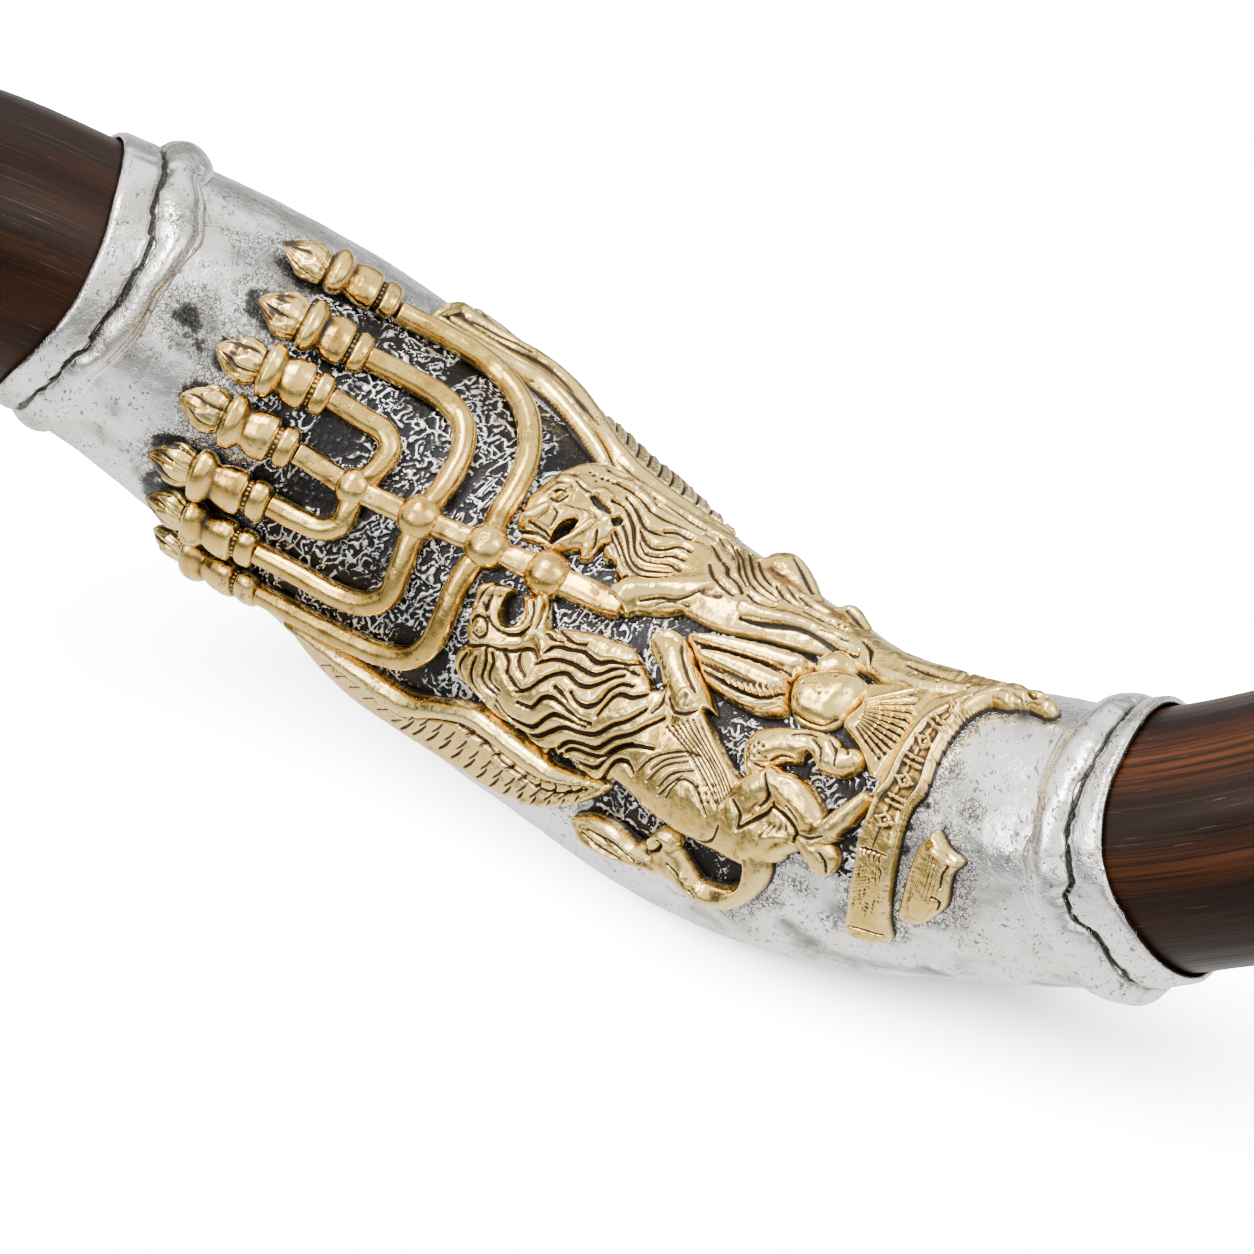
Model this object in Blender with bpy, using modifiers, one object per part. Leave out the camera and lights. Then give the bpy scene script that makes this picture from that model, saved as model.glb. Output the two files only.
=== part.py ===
"""A long twisted horn trumpet with a silver sleeve round its middle.

The horn follows a left-handed helix.  The sleeve carries gilt relief castings:
a seven-branched lamp, two lions, two wings, a foot and a ribbon.

All design lengths below are in millimetres; the meshes are made in metres.
The horn is first drawn in a "drawing frame" (x along the horn, y away from the
front, z up), and then laid on the ground in the attitude in which it rests.
The relief is set out on a flat layout sheet in front of the sleeve and carried
back to the sleeve's surface along lines through one eye point.
"""
import math

import bmesh
import bpy
import numpy as np
from mathutils import Matrix, Vector

# ----------------------------------------------------------------- dimensions
PITCH, PITCH_RATE = 461.2, -0.0284      # helix: length per turn, and its slow change
COIL, COIL_RATE = 41.15, -0.0537        # helix: radius, and its slow change
YAW, DROP = -0.1704, 0.1785             # attitude of the helix axis in the drawing
CENTRE = (224.95, 0.0, -30.1)
START_X = -271.9
Q_BELL, Q_TIP = -4.89, 6.91             # helix angle at the two ends, radians
Q_LEFT, Q_RIGHT = -1.17, 2.14           # helix angle at the sleeve's two rims
BELL_BEND, TIP_BEND = -40.0, -40.0      # how far the free ends turn off the helix

EYE = 858.0                             # eye point in front of the layout sheet
SHEET = 0.1825                          # size of one layout unit
SHEET_MID = 627.0

LEAN, ROLL = 39.74, -1.86                 # resting attitude, degrees
ORIGIN = (-12.614, 19.755, -90.549)                # bottom centre of the box, after turning

WALL = 0.9                              # sleeve sheet
GAP = 0.3                               # clearance between neighbouring pieces
MM_PER_Q = 82.8                         # arc length per radian along the sleeve

# helix angle, sleeve radius, and how far the section leans to the upper side
SLEEVE = [(-1.17, 29.2, 0.0), (-0.82, 32.3, 0.0), (-0.62, 34.2, 0.0), (-0.42, 35.4, 0.0),
          (-0.20, 36.2, 0.0), (0.00, 36.6, 0.0), (0.18, 36.4, 0.0), (0.38, 35.5, 0.0),
          (0.59, 34.8, 0.0), (0.79, 34.6, 0.1), (0.99, 33.5, 0.0), (1.19, 31.6, -0.3),
          (1.39, 29.4, 0.2), (1.59, 27.9, 1.0), (1.79, 27.2, 0.9), (1.99, 26.2, 0.0),
          (2.14, 25.9, 0.0)]
# helix angle and horn radius
HORN = [(-4.89, 40.5), (-4.2, 38.2), (-3.3, 35.2), (-2.2, 31.4), (-1.5, 28.9), (-1.17, 27.8),
        (0.0, 27.2), (1.0, 26.0), (2.14, 24.4), (2.6, 24.9), (3.5, 22.9), (4.6, 19.2),
        (5.7, 15.0), (6.5, 11.9), (6.78, 11.3), (6.91, 12.6)]
# helix angle and bore radius
BORE = [(-4.89, 37.2), (-4.2, 34.2), (-3.3, 30.8), (-1.17, 23.6), (0.5, 22.3), (2.14, 19.6),
        (3.6, 14.6), (4.9, 8.6), (5.7, 4.8), (6.70, 3.8), (6.78, 4.6), (6.85, 6.6), (6.91, 8.6)]
KEEL = 1.9                              # height of the horn's ridge
OVAL = 0.035                            # ovality of the free horn

AROUND = 20                             # facets round the horn and sleeve


# ------------------------------------------------------------------- geometry
def curve_through(x, table, column=1):
    """A smooth, never-overshooting curve through the rows of a table."""
    xs = np.array([row[0] for row in table], float)
    ys = np.array([row[column] for row in table], float)
    x = np.asarray(x, float)
    d = np.diff(ys) / np.diff(xs)
    m = np.zeros(len(xs))
    m[0], m[-1] = d[0], d[-1]
    for i in range(1, len(xs) - 1):
        if d[i - 1] * d[i] > 0:
            m[i] = 2 * d[i - 1] * d[i] / (d[i - 1] + d[i])
    i = np.clip(np.searchsorted(xs, x) - 1, 0, len(xs) - 2)
    h = xs[i + 1] - xs[i]
    t = np.clip((x - xs[i]) / h, 0, 1)
    return ((2 * t**3 - 3 * t**2 + 1) * ys[i] + (t**3 - 2 * t**2 + t) * h * m[i]
            + (-2 * t**3 + 3 * t**2) * ys[i + 1] + (t**3 - t**2) * h * m[i + 1])


def centre(q):
    """The horn's centre line at helix angle q."""
    q = np.asarray(q, float)
    x = PITCH / (2 * np.pi * PITCH_RATE) * (np.exp(PITCH_RATE * q) - 1) + START_X
    r = COIL * np.exp(COIL_RATE * q)
    v = np.stack([x, r * np.cos(q), -r * np.sin(q)], -1)
    c, s = math.cos(YAW), math.sin(YAW)
    v = np.stack([v[..., 0] * c - v[..., 1] * s, v[..., 0] * s + v[..., 1] * c, v[..., 2]], -1)
    c, s = math.cos(DROP), math.sin(DROP)
    v = np.stack([v[..., 0] * c + v[..., 2] * s, v[..., 1], -v[..., 0] * s + v[..., 2] * c], -1)

    def ease(t):
        t = np.clip(t, 0, 1.3)
        return t * t * (1.6 - 0.6 * t)
    bend = BELL_BEND * ease((q + 1.39) / -3.5) + TIP_BEND * ease((q - 2.41) / 4.5)
    return v + np.array(CENTRE) + bend[..., None] * np.array([0.0, 0.91, 0.42])


def unit(v):
    return v / np.linalg.norm(v, axis=-1, keepdims=True)


def section_axes(q):
    """Direction along the horn, direction to the front, and direction up the section."""
    q = np.asarray(q, float)
    t = unit(centre(q + 1e-3) - centre(q - 1e-3))
    f = unit(np.array([0.0, -1.0, 0.0]) + t * t[..., 1:2])
    return t, f, np.cross(f, t)


def place(q, a, r):
    """Point at helix angle q, section angle a (0 = front, 90 = top) and radius r."""
    q, a, r = np.broadcast_arrays(np.asarray(q, float), np.asarray(a, float), np.asarray(r, float))
    _, f, u = section_axes(q)
    return centre(q) + r[..., None] * (np.cos(a)[..., None] * f + np.sin(a)[..., None] * u)


def sleeve_radius(q, a):
    return curve_through(q, SLEEVE) + curve_through(q, SLEEVE, 2) * np.sin(a)


def on_sleeve(q, a, h):
    return place(q, a, sleeve_radius(q, a) + h)


def horn_radius(q, a):
    """The horn's section: round under the sleeve, oval with a ridge outside it."""
    free = np.clip(np.maximum((Q_LEFT - q) / 1.2, (q - Q_RIGHT) / 1.2), 0, 1)
    free = free * free * (3 - 2 * free) * np.clip((Q_TIP - 0.25 - q) / 0.8, 0, 1)
    turn = 0.62 + 0.10 * (q - Q_RIGHT)
    ridge = np.exp(-((np.arctan2(np.sin(a - turn), np.cos(a - turn))) / 0.42) ** 2)
    return curve_through(q, HORN) * (1 + OVAL * free * np.cos(2 * (a - turn))) + KEEL * free * ridge


def to_sheet(p):
    k = EYE / (EYE + p[..., 1])
    return np.stack([SHEET_MID + p[..., 0] * k / SHEET, SHEET_MID - p[..., 2] * k / SHEET], -1)


_grid_q, _grid_a = np.meshgrid(np.linspace(Q_LEFT - 0.3, Q_RIGHT + 0.3, 110),
                               np.radians(np.linspace(-87, 87, 73)), indexing="ij")
_grid_xy = to_sheet(on_sleeve(_grid_q, _grid_a, 2.5)).reshape(-1, 2)


def from_sheet(xy):
    """Helix angle and section angle of points given on the layout sheet."""
    xy = np.atleast_2d(np.asarray(xy, float))
    near = [int(np.argmin(((_grid_xy - p) ** 2).sum(1))) for p in xy]
    q, a = _grid_q.ravel()[near].copy(), _grid_a.ravel()[near].copy()
    for _ in range(6):
        p, e = to_sheet(on_sleeve(q, a, 2.5)), 1e-4
        jq = (to_sheet(on_sleeve(q + e, a, 2.5)) - p) / e
        ja = (to_sheet(on_sleeve(q, a + e, 2.5)) - p) / e
        r = xy - p
        det = jq[:, 0] * ja[:, 1] - jq[:, 1] * ja[:, 0]
        det = np.where(abs(det) < 1e3, np.sign(det + 1e-9) * 1e3, det)
        q += np.clip((r[:, 0] * ja[:, 1] - r[:, 1] * ja[:, 0]) / det, -0.05, 0.05)
        a += np.clip((jq[:, 0] * r[:, 1] - jq[:, 1] * r[:, 0]) / det, -0.08, 0.08)
        a = np.clip(a, -math.radians(90), math.radians(90))
    return q, a


_e, _r = math.radians(LEAN), math.radians(ROLL)
UP = np.array([-math.sin(_r) * math.cos(_e), -math.sin(_e), math.cos(_e) * math.cos(_r)])
BACK = unit(np.array([0.0, 1.0, 0.0]) - UP * UP[1])
SIDE = np.cross(BACK, UP)
TURN = np.array([SIDE, BACK, UP])


def to_ground(p):
    """From the drawing frame to the resting attitude, in metres."""
    return (np.asarray(p) @ TURN.T - np.array(ORIGIN)) * 0.001


# -------------------------------------------------------------------- objects
for old in list(bpy.data.objects):
    bpy.data.objects.remove(old, do_unlink=True)

parts = bpy.data.collections.new("shofar")
cutters = bpy.data.collections.new("shofar_cutters")
bpy.context.scene.collection.children.link(parts)
bpy.context.scene.collection.children.link(cutters)
root = bpy.data.objects.new("shofar_root", None)
parts.objects.link(root)


def finish(name, colour, rough, metal):
    mat = bpy.data.materials.new(name)
    mat.use_nodes = True
    node = mat.node_tree.nodes["Principled BSDF"]
    node.inputs["Base Color"].default_value = (*colour, 1.0)
    node.inputs["Roughness"].default_value = rough
    node.inputs["Metallic"].default_value = metal
    mat.diffuse_color = (*colour, 1.0)
    return mat


def own_finish(name):
    if name == "horn_body":
        return finish("horn_brown", (0.10, 0.055, 0.035), 0.35, 0.0)
    if name == "cement_bed":
        return finish("dark_pitch", (0.05, 0.045, 0.04), 0.7, 0.0)
    if name in ("sleeve_shell", "bead_collar_bell", "bead_collar_mouth"):
        return finish(name + "_silver", (0.85, 0.83, 0.80), 0.25, 1.0)
    return finish(name + "_gilt", (0.83, 0.70, 0.38), 0.25, 1.0)


def add_mesh(name, verts, faces, collection=None, flip_check=True):
    """A closed mesh object from points in the drawing frame."""
    mesh = bpy.data.meshes.new(name)
    mesh.from_pydata([tuple(v) for v in to_ground(verts)], [], faces)
    bm = bmesh.new()
    bm.from_mesh(mesh)
    bmesh.ops.recalc_face_normals(bm, faces=bm.faces)
    if bm.calc_volume(signed=True) < 0:
        bmesh.ops.reverse_faces(bm, faces=bm.faces)
    bm.to_mesh(mesh)
    bm.free()
    return add_object(name, mesh, collection)


def add_object(name, mesh, collection=None):
    mesh.shade_smooth()
    mesh.set_sharp_from_angle(angle=math.radians(40))
    obj = bpy.data.objects.new(name, mesh)
    (collection or parts).objects.link(obj)
    if collection is None:
        obj.parent = root
        mesh.materials.clear()
        mesh.materials.append(own_finish(name))
    return obj


def loft(rings, closed=False, caps=True, back_from=None):
    """Faces through equal rings of points; closed joins the last ring to the first.

    Each facet is split the same way seen along the horn, also where the rings
    run back from ring back_from on, so nested skins have parallel facets.
    """
    n = len(rings[0])
    faces = []
    count = len(rings)
    for i in range(count if closed else count - 1):
        k = (i + 1) % count
        for j in range(n):
            l = (j + 1) % n
            a, b, c, d = i * n + j, i * n + l, k * n + l, k * n + j
            if back_from is not None and i >= back_from:
                faces += [(b, c, d), (b, d, a)]
            else:
                faces += [(a, b, c), (a, c, d)]
    if caps and not closed:
        faces.append(tuple(range(n)))
        faces.append(tuple((count - 1) * n + j for j in range(n)))
    return np.concatenate(rings), faces


def stations(start, end, count):
    return [start + (end - start) * i / (count - 1) for i in range(count)]


SLEEVE_QS = stations(Q_LEFT, Q_RIGHT, 19)
RIM_STEPS = (1.2, 4.5, 7.6, 8.8)        # distances of the lip's profile from its rim
LIP_QS = [Q_LEFT + d / MM_PER_Q for d in RIM_STEPS] + [Q_RIGHT - d / MM_PER_Q for d in RIM_STEPS]
ANGLES = np.linspace(0, 2 * math.pi, AROUND, endpoint=False)


# ----------------------------------------------------------------------- horn
def build_horn():
    outer = sorted(stations(Q_BELL, Q_LEFT, 22)[:-1] + SLEEVE_QS + LIP_QS
                   + stations(Q_RIGHT, 6.5, 15)[1:] + [6.65, 6.78, 6.86, Q_TIP])
    inner = sorted(stations(Q_BELL, 5.9, 22) + [6.3, 6.70, 6.78, 6.85, Q_TIP], reverse=True)
    rings = [place(q, ANGLES, horn_radius(q, ANGLES)) for q in outer]
    for q in inner:
        r = curve_through(q, BORE) * horn_radius(q, ANGLES) / curve_through(q, HORN)
        rings.append(place(q, ANGLES, r))
    verts, faces = loft(rings, closed=True, back_from=len(outer))
    add_mesh("horn_body", verts, faces)


# ------------------------------------------------------ sleeve, bed and collars
def lip_height(mm):
    """Height of the sleeve's skin above its plain surface, by distance from a rim."""
    return float(np.interp(mm, (0.0, 1.2, 4.5, 7.6, 8.8, 20.0), (0.0, 0.55, 0.45, 0.5, 0.0, 0.0)))


def build_sleeve():
    qs = sorted(SLEEVE_QS + LIP_QS)
    rings = []
    for q in qs:
        mm = min(q - Q_LEFT, Q_RIGHT - q) * MM_PER_Q
        rings.append(on_sleeve(q, ANGLES, lip_height(mm)))
    for q in reversed(qs):
        rings.append(on_sleeve(q, ANGLES, -WALL))
    verts, faces = loft(rings, closed=True, back_from=len(qs))
    add_mesh("sleeve_shell", verts, faces)


def build_bed():
    qs = SLEEVE_QS[1:17]
    rings = [on_sleeve(q, ANGLES, -WALL - GAP) for q in qs]
    rings += [place(q, ANGLES, horn_radius(q, ANGLES) + GAP) for q in reversed(qs)]
    verts, faces = loft(rings, closed=True, back_from=len(qs))
    add_mesh("cement_bed", verts, faces)


COLLAR_SECTION = [(9.3, 0.40), (9.3, 1.5), (10.7, 2.8), (13.4, 3.3), (16.2, 2.6), (17.8, 1.2), (17.8, 0.40)]


def collar_wave(a, side):
    """How a collar's course wanders along the sleeve, in mm."""
    if side > 0:
        return 0.9 * np.sin(2 * a + 0.6) + 0.5 * np.sin(5 * a + 1.0)
    return 1.1 * np.sin(2 * a - 0.9) + 0.8 * np.sin(4 * a + 0.5)


def build_collar(name, side):
    angles = np.linspace(0, 2 * math.pi, 36, endpoint=False)
    rings = []
    for mm, h in COLLAR_SECTION:
        swell = 1.0 + 0.14 * np.sin(3 * angles + side)
        wave = collar_wave(angles, side) * np.clip((mm - 9.3) / 4.0, 0, 1)
        q = Q_LEFT + (mm + wave) / MM_PER_Q if side > 0 else Q_RIGHT - (mm + wave) / MM_PER_Q
        rings.append(on_sleeve(q, angles, np.where(h > 0.5, h * swell, h)))
    verts, faces = loft(rings, closed=True)
    add_mesh(name, verts, faces)


# ----------------------------------------------------------------- the relief
def smooth_path(points, count):
    """A smooth curve through points of any dimension, as count evenly spaced points."""
    p = np.asarray(points, float)
    ext = np.vstack([2 * p[0] - p[1], p, 2 * p[-1] - p[-2]])
    out = []
    for i in range(len(p) - 1):
        a, b, c, d = ext[i:i + 4]
        for t in np.linspace(0, 1, 12, endpoint=False):
            out.append(0.5 * (2 * b + (c - a) * t + (2 * a - 5 * b + 4 * c - d) * t**2
                              + (3 * b - a - 3 * c + d) * t**3))
    out.append(p[-1])
    out = np.array(out)
    run = np.concatenate([[0], np.cumsum(np.linalg.norm(np.diff(out[:, :2], axis=0), axis=1))])
    want = np.linspace(0, run[-1], count)
    return np.stack([np.interp(want, run, out[:, k]) for k in range(out.shape[1])], -1)


def strip_mesh(edge_a, edge_b, heights, base=0.45, across=4):
    """A crowned strip between two edges on the sheet, lying on the sleeve."""
    qa, aa = from_sheet(edge_a)
    qb, ab = from_sheet(edge_b)
    top = np.linspace(0, 1, across + 1)
    crown = np.maximum(np.sin(np.pi * np.clip(top, 0.07, 0.93)) ** 0.6, 0.0)
    rings = []
    for i in range(len(qa)):
        q = qa[i] + (qb[i] - qa[i]) * top
        a = aa[i] + (ab[i] - aa[i]) * top
        up = on_sleeve(q, a, base + 0.35 + (heights[i] - base - 0.35) * crown)
        down = on_sleeve(q, a, base)
        rings.append(np.concatenate([up, down[::-1]]))
    return loft(rings)


def limb_mesh(points, height, base=0.45, across=3, count=None):
    """A strip along a path of (x, y, half width) rows on the sheet."""
    p = np.asarray(points, float)
    length = np.linalg.norm(np.diff(p[:, :2], axis=0), axis=1).sum()
    path = smooth_path(p, count or max(3, int(length / 26) + 2))
    d = np.gradient(path[:, :2], axis=0)
    d /= np.linalg.norm(d, axis=1, keepdims=True)
    n = np.stack([-d[:, 1], d[:, 0]], -1)
    w = path[:, 2:3]
    h = np.full(len(path), float(height)) * np.clip(0.55 + path[:, 2] / 40.0, 0.5, 1.0)
    return strip_mesh(path[:, :2] - n * w, path[:, :2] + n * w, h, base, across)


def union(name, pieces):
    """One body from several overlapping strips."""
    base = add_mesh(name, *pieces[0])
    for i, piece in enumerate(pieces[1:]):
        tool = add_mesh("%s_tool_%d" % (name, i), *piece, collection=cutters)
        tool.hide_render = True
        tool.display_type = "WIRE"
        mod = base.modifiers.new("join_%d" % i, "BOOLEAN")
        mod.operation = "UNION"
        mod.solver = "EXACT"
        mod.object = tool
    return base


# lamp arms: sheet paths from the cup down to the knop on the stem
ARM_RADIUS, ARM_LIFT = 2.15, 2.55
ARMS = {
    "arm_inner_upper": [(337, 400), (364, 418), (384, 430), (390, 446), (384, 460), (373, 472)],
    "arm_inner_lower": [(275, 511), (295, 521), (319, 530), (335, 525), (344, 512)],
    "arm_middle_upper": [(376, 359), (402, 371), (443, 394), (463, 418), (463, 449), (449, 478), (438, 492)],
    "arm_middle_lower": [(260, 559), (295, 577), (331, 597), (361, 606), (385, 598), (397, 573), (406, 549)],
    "arm_outer_upper": [(408, 312), (443, 329), (479, 350), (504, 370), (524, 398), (532, 429), (527, 462),
                        (514, 489), (503, 507)],
    "arm_outer_lower": [(262, 601), (295, 618), (342, 642), (378, 657), (406, 660), (427, 646), (441, 618),
                        (452, 592), (463, 575)],
}


def build_arm(name, points):
    p = smooth_path(points, max(6, int(len(points) * 1.7)))
    q, a = from_sheet(p)
    xyz = to_ground(on_sleeve(q, a, ARM_LIFT))
    curve = bpy.data.curves.new(name, "CURVE")
    curve.dimensions = "3D"
    curve.bevel_depth = ARM_RADIUS * 0.001
    curve.bevel_resolution = 2
    curve.use_fill_caps = True
    spline = curve.splines.new("POLY")
    spline.points.add(len(xyz) - 1)
    for point, co in zip(spline.points, xyz):
        point.co = (*co, 1.0)
    obj = bpy.data.objects.new(name, curve)
    parts.objects.link(obj)
    obj.parent = root
    curve.materials.append(own_finish(name))


STEM = [(299, 455, 10), (322, 470, 10), (334, 478, 12), (341, 483, 18), (352, 489, 21), (363, 495, 18), (372, 500, 12),
        (385, 505, 10), (396, 509, 12), (404, 513, 20), (417, 518, 25), (430, 523, 20), (440, 527, 12),
        (455, 533, 11), (464, 537, 13), (473, 541, 20), (485, 546, 25), (497, 552, 20), (507, 557, 12),
        (520, 563, 11), (528, 566, 14), (535, 568, 21), (547, 573, 25), (559, 578, 21), (568, 583, 14),
        (590, 592, 12), (606, 596, 11)]


def build_stem():
    """The lamp's shaft with its four knops, as one turned and flattened bar."""
    q, a = from_sheet([row[:2] for row in STEM])
    centre_line = on_sleeve(q, a, 0.0)
    rings = []
    around = np.radians(np.arange(10) * 36.0)
    along = unit(np.gradient(centre_line, axis=0))
    for i, row in enumerate(STEM):
        t, f, u = section_axes(q[i])
        out = math.cos(a[i]) * f + math.sin(a[i]) * u
        side = unit(np.cross(out, along[i]))
        half = row[2] * SHEET * 1.09
        tall = 1.9 + 0.42 * (half - 1.9)
        mid = centre_line[i] + out * (0.5 + tall)
        rings.append(np.array([mid + side * half * math.cos(g) + out * tall * math.sin(g) for g in around]))
    verts, faces = loft(rings)
    add_mesh("menorah_stem", verts, faces)


# cups: sheet points at the rim and where the arm begins
CUPS = [((334, 268), (399, 300)), ((299, 320), (368, 354)), ((259, 367), (329, 396)), ((221, 418), (291, 451)),
        ((188, 472), (265, 506)), ((181, 518), (252, 553)), ((188, 560), (254, 596))]
FLAMES = [(308, 253), (266, 300), (230, 354), (193, 405), (162, 462), (155, 505), (164, 543)]
CUP_PROFILE = [(1.00, 2.7), (0.97, 3.7), (0.84, 4.3), (0.70, 3.1), (0.63, 3.6), (0.48, 4.5), (0.33, 3.7),
               (0.28, 3.0), (0.17, 4.2), (0.04, 3.4), (0.00, 2.2)]
FLAME_PROFILE = [(1.0, 0.5), (0.72, 2.1), (0.45, 3.4), (0.2, 3.6), (0.0, 1.9)]
FLAT = 0.55


def lathe(name, profile, length, flat, steps):
    """A turned body about Z, flattened across Y, from (height fraction, radius) rows."""
    verts = [(0.0, 0.0, profile[0][0] * length)]
    verts += [(r, 0.0, z * length) for z, r in profile]
    verts += [(0.0, 0.0, profile[-1][0] * length)]
    mesh = bpy.data.meshes.new(name)
    mesh.from_pydata([tuple(c * 0.001 for c in v) for v in verts],
                     [(i, i + 1) for i in range(len(verts) - 1)], [])
    obj = bpy.data.objects.new(name, mesh)
    parts.objects.link(obj)
    obj.parent = root
    screw = obj.modifiers.new("turn", "SCREW")
    screw.axis = "Z"
    screw.angle = 2 * math.pi
    screw.steps = steps
    screw.render_steps = steps
    screw.use_merge_vertices = True
    screw.merge_threshold = 0.00005
    screw.use_smooth_shade = True
    mesh.materials.append(own_finish(name))
    return obj


def set_along(obj, start, along, out, flat):
    """Stand a lathe on the sleeve: its Z along the sleeve, its Y off it, flattened."""
    z = unit(along - out * np.dot(along, out))
    x = np.cross(out, z)
    basis = Matrix([[*(TURN @ x), 0], [*(TURN @ out), 0], [*(TURN @ z), 0], [0, 0, 0, 1]]).transposed()
    basis.translation = Vector(to_ground(start))
    obj.matrix_world = basis @ Matrix.Diagonal((1.0, flat, 1.0, 1.0))


def cup_frame(i):
    rim, arm = CUPS[i]
    q, a = from_sheet([rim, arm])
    p0, p1 = on_sleeve(q[1], a[1], 0.0), on_sleeve(q[0], a[0], 0.0)
    qm, am = (q[0] + q[1]) / 2, (a[0] + a[1]) / 2
    t, f, u = section_axes(qm)
    out = math.cos(am) * f + math.sin(am) * u
    return p0, p1, out


def build_cups():
    for i in range(7):
        p0, p1, out = cup_frame(i)
        length = float(np.linalg.norm(p1 - p0))
        obj = lathe("cup_%d" % (i + 1), CUP_PROFILE, length, FLAT, 12)
        set_along(obj, p0 + out * 3.1, p1 - p0, out, FLAT)
        q, a = from_sheet([FLAMES[i]])
        tip = on_sleeve(q[0], a[0], 0.0)
        way = unit(unit(tip - p1) + 2.0 * unit(p1 - p0))
        flame_out = out - way * float(np.dot(out, way))
        flame = lathe("flame_%d" % (i + 1), FLAME_PROFILE, 8.6, 0.6, 10)
        set_along(flame, p1 + way * 0.7 + unit(flame_out) * 3.0, way, unit(flame_out), 0.6)


def build_relief():
    union("lion_upper", [
        limb_mesh([(640, 516, 34), (668, 541, 35), (705, 567, 34), (742, 590, 32), (790, 612, 28), (835, 633, 25),
                   (872, 646, 18)], 5.2, across=5),
        limb_mesh([(527, 518, 9), (545, 508, 22), (575, 504, 34), (610, 512, 38), (652, 532, 32)], 5.6, 0.48, 4),
        limb_mesh([(728, 596, 20), (694, 590, 15), (664, 588, 13), (640, 596, 15), (622, 600, 12)], 5.4, 0.51),
        limb_mesh([(845, 632, 16), (890, 652, 16), (940, 668, 15), (985, 682, 9)], 4.6, 0.54),
    ])
    union("lion_lower", [
        limb_mesh([(612, 742, 30), (646, 765, 40), (690, 795, 42), (730, 822, 34), (765, 822, 20)], 5.2, across=5),
        limb_mesh([(478, 662, 22), (512, 684, 38), (556, 704, 44), (606, 716, 42), (655, 712, 26)], 5.8, 0.48, 5),
        limb_mesh([(478, 594, 12), (492, 616, 32), (510, 644, 42), (530, 672, 40)], 5.4, 0.51, 4),
        limb_mesh([(700, 740, 26), (690, 700, 18), (678, 668, 14), (662, 642, 13)], 5.0, 0.54),
        limb_mesh([(735, 800, 20), (768, 790, 20), (790, 800, 18), (806, 826, 15), (822, 845, 18), (846, 814, 11),
                   (860, 802, 7)], 4.8, 0.57),
    ])
    add_mesh("lion_lower_far_leg", *limb_mesh([(743, 760, 10), (765, 744, 16), (806, 742, 17), (840, 752, 13)], 4.4))
    union("tail_lower", [
        limb_mesh([(752, 852, 11), (754, 880, 13), (736, 902, 12), (706, 900, 11), (680, 882, 12), (660, 858, 12),
                   (640, 850, 12)], 4.0, 0.48),
        limb_mesh([(654, 852, 14), (620, 842, 17), (590, 828, 13), (570, 818, 5)], 3.6, 0.51),
    ])
    for name, outer, inner, h in (
        ("wing_upper",
         [(441, 303), (468, 303), (505, 318), (545, 343), (585, 377), (622, 417), (662, 457), (702, 493), (738, 531)],
         [(440, 311), (466, 329), (504, 357), (542, 384), (572, 410), (600, 440), (640, 474), (680, 502), (728, 538)],
         (1.6, 2.6, 3.4, 3.8, 4.2, 4.4, 4.2, 3.8, 2.4)),
        ("wing_lower",
         [(282, 622), (345, 657), (400, 694), (446, 705), (478, 714), (506, 734), (534, 752), (562, 770), (592, 786)],
         [(290, 640), (340, 686), (396, 728), (446, 762), (492, 794), (519, 808), (547, 812), (574, 808), (600, 794)],
         (1.6, 2.8, 3.4, 3.8, 4.0, 4.0, 3.8, 3.2, 2.2)),
    ):
        ea, eb = smooth_path(outer, 17), smooth_path(inner, 17)
        h = np.interp(np.linspace(0, 1, 17), np.linspace(0, 1, len(h)), h)
        add_mesh(name, *strip_mesh(ea, eb, h, 0.45, 4))
    add_mesh("base_flare", *strip_mesh(
        smooth_path([(688, 634), (716, 630), (748, 640), (776, 652), (797, 664)], 6),
        smooth_path([(700, 664), (716, 694), (742, 712), (768, 714), (786, 706)], 6),
        [3.0, 3.8, 4.0, 4.0, 3.8, 3.2], 0.45, 5))
    add_mesh("base_dome", *strip_mesh(
        smooth_path([(797, 684), (806, 675), (828, 667), (852, 668), (869, 680)], 6),
        smooth_path([(795, 704), (804, 718), (826, 724), (846, 722), (866, 700)], 6),
        [2.6, 4.2, 5.0, 5.0, 4.4, 2.6], 0.45, 5))
    add_mesh("base_foot", *strip_mesh(
        smooth_path([(883, 681), (898, 685), (915, 689)], 4),
        smooth_path([(857, 737), (865, 746), (873, 754)], 4), [3.0, 3.0, 2.8, 2.6], 0.45, 5))
    add_mesh("banner", *strip_mesh(
        smooth_path([(990, 690), (935, 706), (905, 740), (884, 777), (869, 805), (856, 848), (846, 892), (842, 938)], 13),
        smooth_path([(1012, 706), (968, 730), (943, 764), (915, 802), (897, 830), (889, 879), (884, 917), (890, 950)], 13),
        [2.6] * 13, 0.45, 4))
    add_mesh("banner_tip", *limb_mesh([(1012, 690, 9), (1030, 694, 9), (1048, 700, 8)], 2.8))
    add_mesh("banner_flap", *strip_mesh(
        smooth_path([(932, 828), (912, 852), (900, 880), (895, 912)], 5),
        smooth_path([(950, 846), (962, 868), (947, 906), (915, 930)], 5), [2.0, 3.0, 3.2, 3.0, 2.0], 0.45, 4))


build_horn()
build_sleeve()
build_bed()
build_collar("bead_collar_bell", 1)
build_collar("bead_collar_mouth", -1)
build_stem()
for arm, points in ARMS.items():
    build_arm(arm, points)
build_cups()
build_relief()
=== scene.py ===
"""Looks of the horn trumpet with the silver sleeve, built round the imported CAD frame."""
import math

import bmesh
import bpy
import numpy as np
from mathutils import Matrix, Vector


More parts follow.
